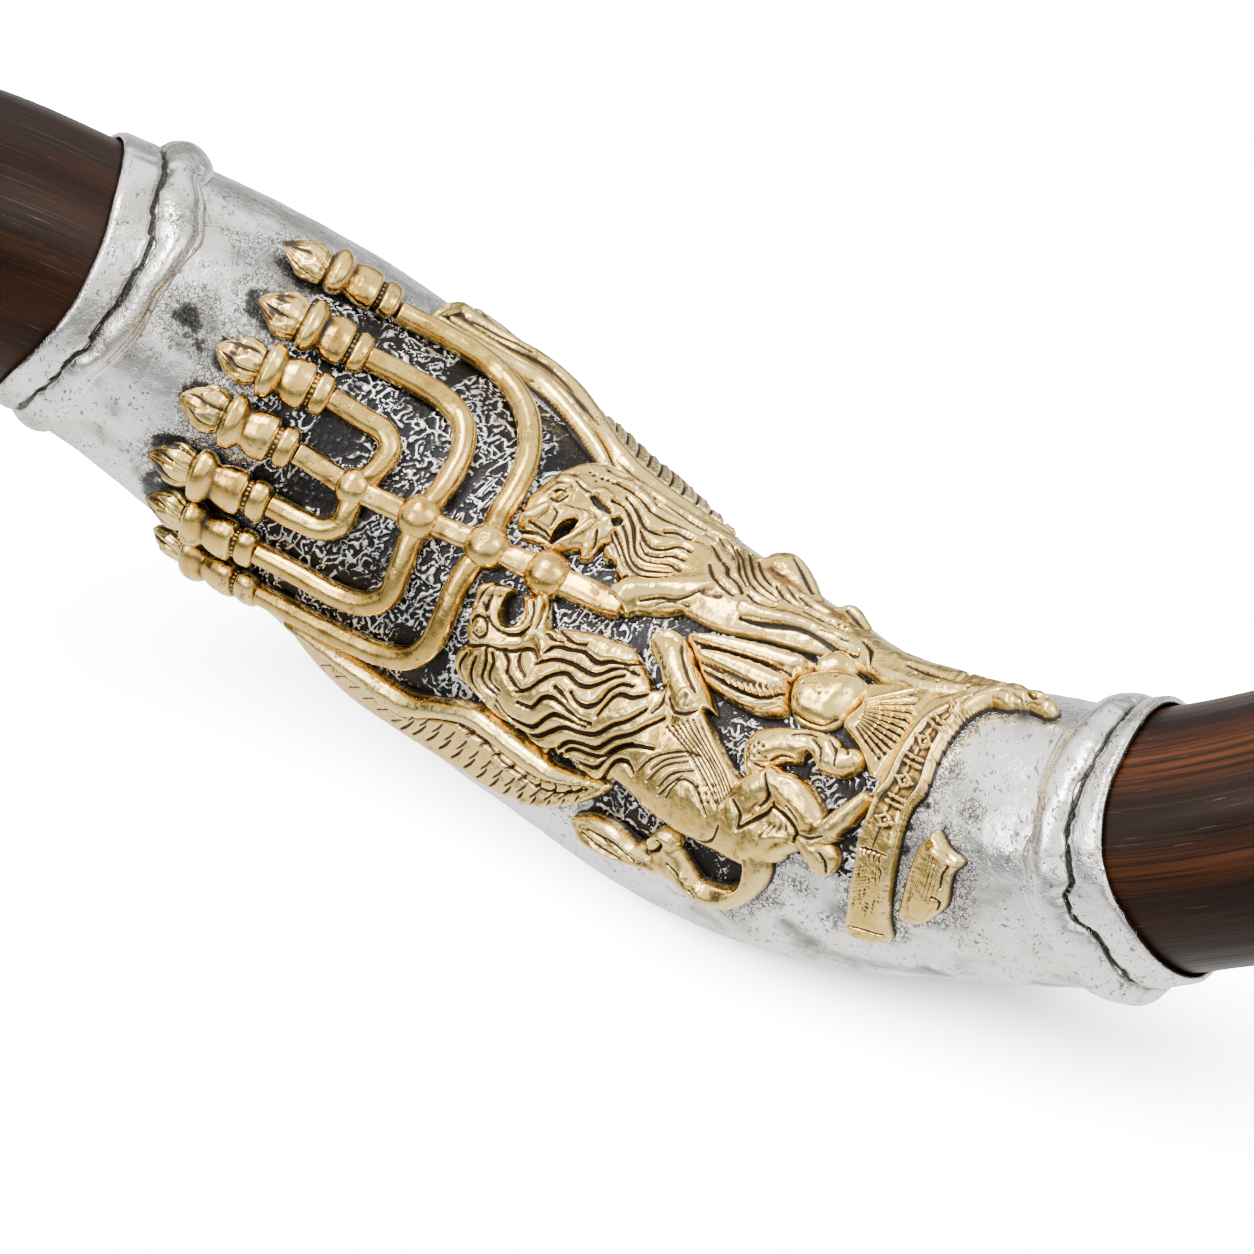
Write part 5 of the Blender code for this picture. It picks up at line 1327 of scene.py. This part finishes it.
def wings():
    f = patch([(432, 298), (545, 335), (660, 440), (765, 548), (740, 548), (606, 470), (500, 365)], 0.26, 7.0)
    outer = [(438, 304), (455, 301), (480, 306), (516, 325), (546, 344), (576, 364), (608, 392), (636, 419), (664, 448), (698, 483),
             (724, 508), (744, 527)]
    inner = [(742, 536), (712, 526), (680, 508), (650, 490), (628, 474), (610, 462), (594, 446), (577, 424), (560, 402), (540, 382),
             (512, 362), (482, 341), (452, 320), (437, 312)]

    def rise(X, Y):
        return 3.4 + 0.0 * X
    pad(f, outer + inner, 1.9, 3.0, 0.5)
    over = [(470, 296), (510, 312), (548, 335), (580, 357), (612, 385), (640, 412), (668, 441), (698, 472), (716, 490)]
    q, a = from_sheet([(p[0] + 3, p[1] + 5) for p in over], 4.0)
    back = np.column_stack([q * MMQ + 1.0, a * MMA + 2.0, np.full(len(q), 5.0) * np.clip(np.linspace(5.0, 0.45, len(q)), 0, 1),
                            np.full(len(q), 1.3)])
    f.stroke(back, 0.5, "max", 0.5)
    # outer rim, then the two inner ribs
    r1 = [(440, 308), (461, 306), (482, 321), (511, 339), (545, 358), (577, 385), (599, 414), (618, 443), (640, 467), (667, 487),
          (700, 508), (722, 521), (736, 529)]
    r2 = [(446, 316), (480, 339), (509, 356), (536, 371), (555, 388), (574, 410), (594, 434), (613, 466)]
    r3 = [(520, 370), (536, 380), (552, 396), (570, 418), (587, 439), (602, 460)]
    ridge(f, r1, (4.5, 6.5, 6.5, 7, 6.5, 5, 2), (1.5, 1.8, 1.9, 1.8, 1.5, 0.9, 0.2))
    ridge(f, r2, (3, 4.5, 4.5, 4), (1.2, 1.4, 1.4, 0.9))
    ridge(f, r3, (2.4, 3.4, 3.2), (1.0, 1.2, 0.8))
    ridge(f, [(446, 303), (458, 301), (486, 309), (520, 328), (552, 349)], (5, 6, 6, 4), 1.0)
    mid12 = [((p[0] + s[0]) / 2, (p[1] + s[1]) / 2) for p, s in zip(r1[1:8], r2[:7])]
    groove(f, [(452, 313), (482, 331), (510, 348), (540, 366), (566, 388), (587, 414), (606, 442), (624, 470)], 1.8, 1.3)
    groove(f, [(500, 356), (530, 374), (552, 393), (572, 416), (590, 440), (606, 464)], 1.3, 0.9, 2.4)
    groove(f, [(545, 352), (575, 376), (601, 405), (622, 436), (646, 462), (672, 482), (708, 505), (742, 532)], 1.6, 0.9, 2.8)
    groove(f, [(470, 317), (500, 335), (532, 352)], 1.2, 0.5, 2.2)
    groove(f, [(556, 371), (580, 396), (600, 424)], 1.0, 0.4, 2.0)
    # barbs from the rim to the silhouette
    for k in range(17):
        t = k / 16.0
        x = np.interp(t, [0, 0.25, 0.5, 0.75, 1], [556, 601, 640, 683, 738])
        y = np.interp(t, [0, 0.25, 0.5, 0.75, 1], [356, 402, 452, 492, 530])
        # the barb's foot on the rim and a head past the silhouette
        q, a = from_sheet([(x, y)], 3.0)
        foot = np.array([q[0] * MMQ, a[0] * MMA])
        head = foot + np.array([-8.5, 12.0])
        w = 0.36
        f.stroke([(*foot, w * 0.8, 0.9), (*((foot + head) / 2 + (0.8, 0.4)), w, 1.0), (*head, w * 0.7, 0.6)], 0.7, "cut")
        side = np.array([-0.9, -0.6])
        for j in range(7):
            c = foot + side * 0.75 + (head - foot) * (0.06 + 0.13 * j)
            f.stroke([(*c, 0.42, 0.35), (*(c + (0.05, 0.0)), 0.42, 0.35)], 0.6, "add")
    f.roughen(0.05, 1.3, 74)
    own(relief_object("wing_upper_relief", f, 0.16), GILT_LION, "gilt", "wing_upper")

    g = patch([(276, 618), (400, 690), (500, 725), (610, 785), (560, 815), (400, 740)], 0.25, 4.0)
    top = [(278, 622), (300, 632), (345, 658), (400, 694), (434, 701), (476, 707), (506, 730), (538, 753), (552, 765), (576, 774), (606, 786)]
    low = [(600, 796), (580, 806), (547, 812), (519, 808), (492, 797), (446, 768), (400, 738), (350, 702), (314, 668), (286, 634)]
    pad(g, top + low, 2.7, 2.6, 0.5)
    rim = [(280, 624), (312, 642), (356, 674), (404, 706), (440, 710), (470, 717), (500, 738), (530, 762), (556, 776), (586, 784)]
    ridge(g, rim, (3, 4.5, 7, 9.5, 8.5, 8.5, 8.5, 8, 5), (0.9, 1.5, 1.7, 1.7, 1.6, 1.7, 1.7, 1.6, 0.9), 0.55)
    spine = [(457, 727), (483, 745), (500, 763), (516, 775), (538, 790), (561, 795), (586, 790)]
    groove(g, [(330, 668), (366, 692), (400, 716), (430, 719), (457, 725), (485, 743), (512, 764), (530, 776), (561, 784), (590, 788)],
           1.4, 0.8, 2.6)
    groove(g, spine, 1.5, 0.8, 3.0)
    # scales between rim and spine
    for x0, y0, x1, y1 in ((470, 728, 464, 736), (486, 736, 478, 746), (499, 749, 490, 757), (512, 760, 504, 770),
                           (524, 771, 516, 781), (538, 777, 532, 789), (552, 781, 549, 793), (566, 783, 566, 794), (578, 784, 581, 792)):
        groove(g, [(x0, y0), ((x0 + x1) / 2 + 3, (y0 + y1) / 2 + 2), (x1, y1)], 1.3, 0.7, 2.6)
    # barbs below the spine, slanting back
    feet = np.array([(412, 726), (424, 731), (437, 737), (449, 745), (461, 754), (473, 764), (485, 774), (497, 783), (509, 791),
                     (521, 797), (534, 802), (548, 805), (562, 804), (576, 800)], float)
    for k, (x, y) in enumerate(feet):
        lean = np.interp(k, [0, 13], [13, 7])
        groove(g, [(x, y - 4), (x - lean * 0.5, y + 2), (x - lean, y + 5)], 1.2, 0.75, 2.6)
        groove(g, [(x + 4, y - 12), (x - 2, y - 6), (x - 6, y - 4)], 1.2, 0.6, 2.2)
    for k in range(6):
        groove(g, [(400 - 14 * k, 722 - 11 * k), (390 - 14 * k, 722 - 11 * k)], 1.0, 0.5, 2.0)
    ridge(g, [(519, 804), (547, 808), (578, 803), (600, 792)], (3, 4, 4, 3), 0.8)
    g.roughen(0.05, 1.3, 75)
    own(relief_object("wing_lower_relief", g, 0.16), GILT_LION, "gilt", "wing_lower")


def base():
    f = patch([(680, 626), (830, 655), (800, 722), (700, 700)], 0.23, 3.0)
    pad(f, [(684, 633), (707, 632), (750, 640), (795, 650), (818, 661), (806, 668), (793, 674), (787, 690), (786, 710), (766, 714),
            (740, 706), (716, 692), (702, 678), (693, 655)], 3.2, 1.8, 0.5)
    ridge(f, [(690, 637), (722, 642), (762, 652), (800, 664)], (4, 7, 8, 7), 1.3)
    ridge(f, [(698, 654), (726, 662), (760, 676), (784, 686)], (4, 8, 10, 8), 1.4)
    ridge(f, [(706, 678), (730, 694), (758, 706), (782, 706)], (3, 5, 6, 5), 1.2)
    groove(f, [(694, 641), (706, 647), (726, 653), (761, 663), (790, 673)], 1.8, 0.9)
    groove(f, [(702, 668), (714, 676), (730, 686), (752, 696), (772, 696), (784, 692)], 2.0, 1.0)
    groove(f, [(700, 662), (712, 668), (724, 674)], 1.2, 0.5, 2.0)
    for k in range(9):
        t = k / 8.0
        x, y = 700 + 82 * t, 646 + 25 * t
        ball(f, x, y, 2.2, 0.45)
    for k in range(8):
        t = k / 7.0
        x, y = 726 + 44 * t, 682 + 16 * t - 6 * t * t
        f.stroke(line([(x, y - 3), (x + 3, y + 3.5)], 2.0, 0.6), 0.6, "add")
    groove(f, [(740, 700), (758, 702), (780, 698)], 1.2, 0.6, 2.4)
    groove(f, [(752, 708), (768, 708), (784, 704)], 1.2, 0.6, 2.4)
    groove(f, [(720, 634), (760, 645), (800, 656)], 1.0, 0.35, 2.2)
    f.roughen(0.05, 1.2, 76)
    own(relief_object("base_flare_relief", f, 0.16), GILT_BASE, "gilt", "base_flare")

    g = patch([(782, 645), (875, 650), (872, 730), (785, 725)], 0.23, 3.0)
    mass(g, [(826, 658, 10, 3.0), (838, 657, 12, 3.5), (848, 660, 9, 3.0)], 0.5)
    pad(g, [(787, 691), (790, 679), (802, 670), (823, 667), (850, 669), (871, 681), (860, 695), (848, 708), (837, 719), (823, 726),
            (802, 722), (789, 712)], 4.0, 4.6, 0.55)
    ridge(g, [(808, 694), (828, 692), (846, 688)], (20, 24, 18), 1.3, 0.9)
    groove(g, [(790, 708), (804, 718), (822, 722), (836, 716)], 1.1, 0.35, 2.0)
    ridge(g, [(792, 716), (808, 725), (826, 728), (838, 720)], (3, 3.6, 3), 0.8)
    g.roughen(0.035, 1.4, 77)
    for p in ((812, 682), (806, 690), (828, 676), (838, 684), (822, 700), (802, 700), (846, 676)):
        ball(g, p[0], p[1], 1.3, 0.4, 0.8, "cut")
    own(relief_object("base_dome_relief", g, 0.2), GILT_BASE, "gilt", "base_dome")

    h = patch([(836, 675), (925, 680), (920, 700), (880, 768), (850, 740)], 0.23, 2.0)
    pad(h, [(866, 678), (896, 680), (930, 684), (934, 692), (918, 710), (903, 734), (890, 756), (877, 778), (866, 776), (860, 756),
            (850, 738), (840, 724), (844, 712), (858, 700)], 2.6, 1.5, 0.5)
    hub = np.array([842.0, 706.0])
    for k in range(10):
        ang = math.radians(-13 + 7.2 * k)
        d = np.array([math.cos(ang), math.sin(ang)])
        p0, p1 = hub + d * 24, hub + d * (74 - 1.6 * k)
        ridge(h, [tuple(p0), tuple((p0 + p1) / 2), tuple(p1)], (1.4, 2.5, 3.0), 0.8)
        ang += math.radians(3.6)
        d = np.array([math.cos(ang), math.sin(ang)])
        p0, p1 = hub + d * 22, hub + d * (72 - 1.6 * k)
        groove(h, [tuple(p0), tuple((p0 + p1) / 2), tuple(p1)], 1.1, 0.8, 0)
        for j in range(3):
            c = hub + d * (40 + 11 * j)
            ball(h, c[0], c[1], 1.9, 0.55, 0.8, "cut")
    h.roughen(0.05, 1.2, 78)
    own(relief_object("base_foot_relief", h, 0.14), GILT_BASE, "gilt", "base_foot")


def ribbon():
    f = patch([(832, 955), (842, 880), (880, 760), (935, 690), (1060, 680), (1000, 720), (900, 960)], 0.25, 4.0)
    left = [(1030, 687), (1000, 684), (968, 687), (935, 693), (917, 707), (902, 733), (889, 754), (873, 784), (862, 816), (852, 846), (845, 879),
            (841, 912), (842, 938)]
    right = [(886, 949), (885, 924), (886, 902), (889, 874), (893, 851), (898, 828), (907, 806), (920, 790), (932, 758), (950, 727), (975, 703),
             (1000, 696), (1030, 700)]
    pad(f, left + right, 2.5, 1.5, 0.5)
    edge = [(1024, 694), (999, 690), (974, 700), (951, 722), (933, 752), (920, 787), (906, 806), (898, 828)]
    ridge(f, edge, (5, 5, 4.5, 4.5, 4, 3), 1.3)
    inner = [(985, 690), (958, 700), (926, 720), (901, 756), (890, 779), (876, 797), (866, 818), (855, 846)]
    ridge(f, inner, (2.6, 3, 3, 2.4), 0.8)
    ridge(f, [(968, 689), (930, 706), (908, 738), (890, 766), (876, 790)], (6, 9, 9, 5), 0.5)
    groove(f, [(975, 697), (954, 709), (930, 730), (910, 764), (896, 792), (880, 822), (866, 858)], 1.2, 0.35, 2.2)
    # a running ornament in place of lettering: lozenges and short bars between the borders
    run = smooth_path([(962, 707), (940, 722), (920, 748), (906, 776), (893, 802), (881, 826)], 3.0)
    d = np.gradient(run, axis=0)
    d /= np.linalg.norm(d, axis=1, keepdims=True)
    n = np.stack([-d[:, 1], d[:, 0]], -1)
    length = np.concatenate([[0], np.cumsum(np.linalg.norm(np.diff(run, axis=0), axis=1))])
    total = length[-1]
    spots = np.linspace(7, total - 7, 7)
    for k, s in enumerate(spots):
        c = np.array([np.interp(s, length, run[:, 0]), np.interp(s, length, run[:, 1])])
        t = np.array([np.interp(s, length, d[:, 0]), np.interp(s, length, d[:, 1])])
        m = np.array([np.interp(s, length, n[:, 0]), np.interp(s, length, n[:, 1])])
        if k % 2:
            for off in (-3.6, 3.6):
                a, b = c + t * off - m * 7.5, c + t * off + m * 7.5
                ridge(f, [tuple(a), tuple(b)], 2.3, 1.1)
        else:
            pts = [c - m * 7.5, c + t * 6.0, c + m * 7.5, c - t * 6.0, c - m * 7.5]
            for a, b in zip(pts[:-1], pts[1:]):
                ridge(f, [tuple(a), tuple(b)], 1.7, 1.0)
            ball(f, c[0], c[1], 2.3, 0.9)
    # scratched lower end
    local = np.random.default_rng(5)
    for k in range(34):
        x = 850 + local.uniform(0, 34)
        y = 846 + local.uniform(0, 60)
        L = local.uniform(5, 13)
        groove(f, [(x, y), (x - L * 0.12, y + L)], 0.9, 0.45, 0)
    for k in range(10):
        y = 868 + 3.4 * k
        groove(f, [(848, y), (862 + local.uniform(0, 6), y - 1)], 0.8, 0.3, 0)
    groove(f, [(846, 928), (860, 932), (882, 938)], 1.2, 0.4, 2.2)
    groove(f, [(852, 846), (866, 850), (884, 856)], 1.1, 0.45, 2.0)
    f.roughen(0.05, 1.2, 79)
    own(relief_object("ribbon_relief", f, 0.16), GILT_BASE, "gilt", "banner")

    g = patch([(1012, 684), (1056, 686), (1052, 712), (1015, 706)], 0.24, 5.0)
    mass(g, [(1018, 692, 9, 3.2), (1036, 694, 10, 3.6), (1046, 701, 8, 3.2)], 0.4)
    groove(g, [(1026, 690), (1034, 697), (1046, 697)], 1.6, 0.9)
    groove(g, [(1020, 698), (1030, 703), (1040, 706)], 1.2, 0.6)
    g.roughen(0.07, 1.1, 80)
    own(relief_object("ribbon_tip_relief", g, 0.16), GILT_BASE, "gilt", "banner_tip")

    h = patch([(886, 822), (966, 822), (966, 936), (886, 936)], 0.24, 2.0)
    pad(h, [(925, 834), (934, 828), (945, 848), (960, 863), (948, 877), (944, 899), (940, 914), (917, 930), (893, 922), (895, 900),
            (904, 867), (914, 844)], 2.3, 1.6, 0.5)
    ridge(h, [(930, 836), (931, 860), (924, 890), (914, 914)], (7, 14, 15, 9), 0.7)
    ridge(h, [(934, 852), (946, 862), (952, 866)], (4, 4, 2), 0.8)
    groove(h, [(946, 866), (940, 876), (938, 890)], 1.2, 0.6, 2.4)
    groove(h, [(930, 898), (936, 904), (934, 912)], 1.5, 0.7, 2.0)
    for k in range(14):
        x = 896 + 3.0 * k
        top = 872 - 3.2 * k if k < 9 else 846 + 4.0 * (k - 9)
        groove(h, [(x + 6, top + 8), (x + 2, top + 26), (x - 4, top + 46)], 0.8, 0.42, 0)
    h.roughen(0.07, 1.2, 81)
    own(relief_object("ribbon_flap_relief", h, 0.16), GILT_BASE, "gilt", "banner_flap")


def lamp_ground():
    """The oxidised ground inside the lamp and round the heads: black, with a raised silver scribble."""
    zones = [
        [(318, 292), (350, 304), (404, 318), (440, 318), (476, 352), (512, 372), (548, 398), (580, 430), (604, 466), (590, 480),
         (560, 500), (540, 530), (540, 600), (500, 640), (470, 700), (440, 706), (400, 694), (345, 655), (300, 626), (256, 597),
         (250, 575), (246, 548), (252, 520), (262, 500), (240, 480), (256, 462), (262, 440), (250, 428), (236, 405), (262, 392),
         (280, 376), (272, 352), (300, 342), (320, 330), (300, 310)],
        [(500, 490), (560, 470), (620, 480), (695, 537), (695, 889), (680, 884), (650, 866), (610, 846), (566, 818), (590, 800),
         (560, 770), (520, 745), (480, 715), (455, 690), (450, 650), (470, 580)],
        [(686, 530), (700, 540), (760, 585), (840, 630), (930, 685), (985, 694), (935, 706), (905, 740), (884, 777), (869, 805),
         (858, 850), (852, 880), (820, 872), (796, 858), (760, 868), (756, 890), (720, 900), (686, 886)],
    ]
    for i, zone in enumerate(zones):
        f = patch(zone, 0.318 if i == 0 else 0.30, 1.0)
        poly = flat(zone, 0.5)
        f.area(poly, 0.10, 0.5, 1.0)
        ground_mask.append((f, f.H.copy()))
        inside = f.H > SINK + 0.05
        X, Y = np.meshgrid(f.S, f.T, indexing="ij")
        wx = X + 1.3 * value_noise(X / 2.2, Y / 2.2, 200 + i)
        wy = Y + 1.3 * value_noise(X / 2.2, Y / 2.2, 210 + i)
        n1 = value_noise(wx / 1.15, wy / 1.9, 220 + i)
        n2 = value_noise(wx / 1.9 + 9, wy / 1.0 + 4, 230 + i)
        bright, black = np.zeros(X.shape), np.zeros(X.shape)
        for px, py, r in ((352, 560, 34), (415, 590, 26), (330, 590, 22), (548, 440, 20), (470, 400, 22), (440, 470, 18), (520, 470, 16),
                          (825, 785, 18), (745, 745, 16), (630, 815, 24), (760, 880, 16), (480, 660, 14)):
            cs, ct = flat([(px, py)], 0.0)[0]
            bright = np.maximum(bright, np.exp(-(((X - cs) ** 2 + (Y - ct) ** 2) / (r * 0.2) ** 2)))
        for px, py, r in ((330, 436, 22), (300, 488, 18), (512, 608, 20), (705, 863, 22), (216, 394, 12), (372, 330, 16), (660, 672, 14),
                          (565, 765, 14), (722, 715, 18), (560, 540, 16), (850, 815, 10)):
            cs, ct = flat([(px, py)], 0.0)[0]
            black = np.maximum(black, np.exp(-(((X - cs) ** 2 + (Y - ct) ** 2) / (r * 0.2) ** 4 * (r * 0.2) ** 2)))
        width = 0.17 + 0.14 * bright
        worm = np.maximum(np.exp(-(n1 / width) ** 2), np.exp(-(n2 / width) ** 2))
        gate = np.clip(value_noise(X / 5.0, Y / 5.0, 240 + i) * 1.4 + 0.85 + 0.6 * bright, 0, 1) * (1 - np.clip(1.2 * black, 0, 1))
        f.H = np.where(inside, 0.12 + 0.45 * worm * gate + 0.06 * value_noise(X / 0.7, Y / 0.7, 250 + i), SINK)
        mesh = relief_object("ground_%d" % (i + 1), f, 0.0)
        drawn.pop()
        pale = np.zeros(len(mesh.data.vertices), np.float32)
        att = mesh.data.attributes.new("pale", "FLOAT", "POINT")
        att.data.foreach_set("value", pale)
        own(mesh, GROUND, "silver")


def build_reliefs():
    upper_lion()
    lower_lion()
    tail()
    wings()
    base()
    ribbon()
    lamp_ground()
    # the lamp's own shade on the silver round it
    f = patch([(150, 225), (560, 300), (600, 640), (150, 640)], 0.5, 4.0)
    for pts in ARMS.values():
        f.stroke(line(pts, 13, 1.0), 0.5, "max")
    for (rim, arm), tip in zip(CUPS, FLAMES):
        f.stroke(line([arm, rim, tip], (17, 25, 25), 1.0), 0.5, "max")
    f.stroke(line(STEM, 14, 1.0), 0.5, "max")
    drawn.append((f, f.H.copy()))


# --------------------------------------------------------------- build
build_reliefs()
build_lamp()
build_sleeve()
build_collar("collar_bell", "bead_collar_bell", True)
build_collar("collar_mouth", "bead_collar_mouth", False)
build_horn()

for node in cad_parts.values():
    if node.name == "cement_bed":
        node.data.materials.clear()
        node.data.materials.append(PITCH_MAT)


# --------------------------------------------------------------- studio
def build_floor():
    mesh = bpy.data.meshes.new("floor")
    s = 14.0
    mesh.from_pydata([(-s, -s, 0), (s, -s, 0), (s, s, 0), (-s, s, 0)], [], [(0, 1, 2, 3)])
    floor = bpy.data.objects.new("floor", mesh)
    bpy.context.scene.collection.objects.link(floor)
    m = Mat("pale_floor")
    n = m.noise(m.scaled(m.coord, 3.0), 1.0, 2.0)
    m.out(Base_Color=m.mix(n, (0.93, 0.93, 0.93), (0.95, 0.95, 0.95)), Roughness=0.9, Specular_IOR_Level=0.0)
    mesh.materials.append(m.mat)


build_floor()
world = bpy.data.worlds.new("studio")
bpy.context.scene.world = world
world.use_nodes = True
wt = world.node_tree
bg = wt.nodes["Background"]
# a soft studio: bright overhead, darker toward the horizon, so polished metal has something to show
geo = wt.nodes.new("ShaderNodeTexCoord")
sep = wt.nodes.new("ShaderNodeSeparateXYZ")
wt.links.new(geo.outputs["Generated"], sep.inputs[0])
ramp = wt.nodes.new("ShaderNodeValToRGB")
e = ramp.color_ramp.elements
e[0].position, e[0].color = 0.0, (0.98, 0.96, 0.93, 1)
e[1].position, e[1].color = 1.0, (0.80, 0.80, 0.80, 1)
for at, v in ((0.24, 0.82), (0.42, 0.55), (0.51, 0.20), (0.57, 0.10), (0.64, 0.42), (0.72, 1.0), (0.88, 1.0)):
    mid = e.new(at)
    mid.color = (v, v, v, 1)
half = wt.nodes.new("ShaderNodeMath")
half.operation = "MULTIPLY_ADD"
half.inputs[1].default_value = 0.5
half.inputs[2].default_value = 0.5
wt.links.new(sep.outputs["Z"], half.inputs[0])
wt.links.new(half.outputs[0], ramp.inputs["Fac"])
wt.links.new(ramp.outputs["Color"], bg.inputs["Color"])
bg.inputs["Strength"].default_value = 1.9


def area_light(name, where, target, size, power, size_y=None):
    data = bpy.data.lights.new(name, "AREA")
    data.energy = power
    data.shape = "RECTANGLE"
    data.size, data.size_y = size, size_y or size
    obj = bpy.data.objects.new(name, data)
    bpy.context.scene.collection.objects.link(obj)
    obj.location = where
    obj.rotation_mode = "QUATERNION"
    obj.rotation_quaternion = (Vector(target) - Vector(where)).to_track_quat("-Z", "Y")
    return obj


HUB = to_ground(np.array([0.0, 0.0, 0.0]))


def lit(offset, name, size, power, size_y=None):
    """A light placed from the piece's middle by an offset in the camera's right, up and toward-camera directions."""
    o = np.array([offset[0], -offset[2], offset[1]])
    at = HUB + TURN @ o
    return area_light(name, at.tolist(), HUB.tolist(), size, power, size_y)


lit((-0.30, 1.10, 0.75), "key", 0.75, 26.0, 0.5)
lit((1.0, 0.55, 1.0), "fill", 0.5, 9.0, 0.8)
lit((-1.0, 0.35, 1.2), "left", 0.45, 12.0, 0.9)

# the floor's own wash, so that it reads as a white sweep; it lights nothing but the floor
wash = area_light("floor_wash", (HUB[0] - 0.7, HUB[1] - 0.2, 2.1), (HUB[0], HUB[1], 0.0), 3.0, 2600.0)
only = bpy.data.collections.new("floor_only")
only.objects.link(bpy.data.objects["floor"])
wash.light_linking.receiver_collection = only
wash.visible_glossy = False
wash.visible_camera = False
bpy.data.objects["floor"].visible_glossy = False
bpy.data.objects["floor"].visible_diffuse = False

cam_data = bpy.data.cameras.new("camera")
cam = bpy.data.objects.new("camera", cam_data)
bpy.context.scene.collection.objects.link(cam)
right, up, toward = (TURN @ np.array(v) for v in ((1.0, 0, 0), (0, 0, 1.0), (0, -1.0, 0)))
pos = to_ground(np.array([0.0, -EYE, 0.0]))
cam.matrix_world = Matrix([[right[i], up[i], toward[i], pos[i]] for i in range(3)] + [[0, 0, 0, 1]])
cam_data.sensor_width = 36.0
cam_data.lens = 134.97
cam_data.clip_start, cam_data.clip_end = 0.01, 60.0
bpy.context.scene.camera = cam
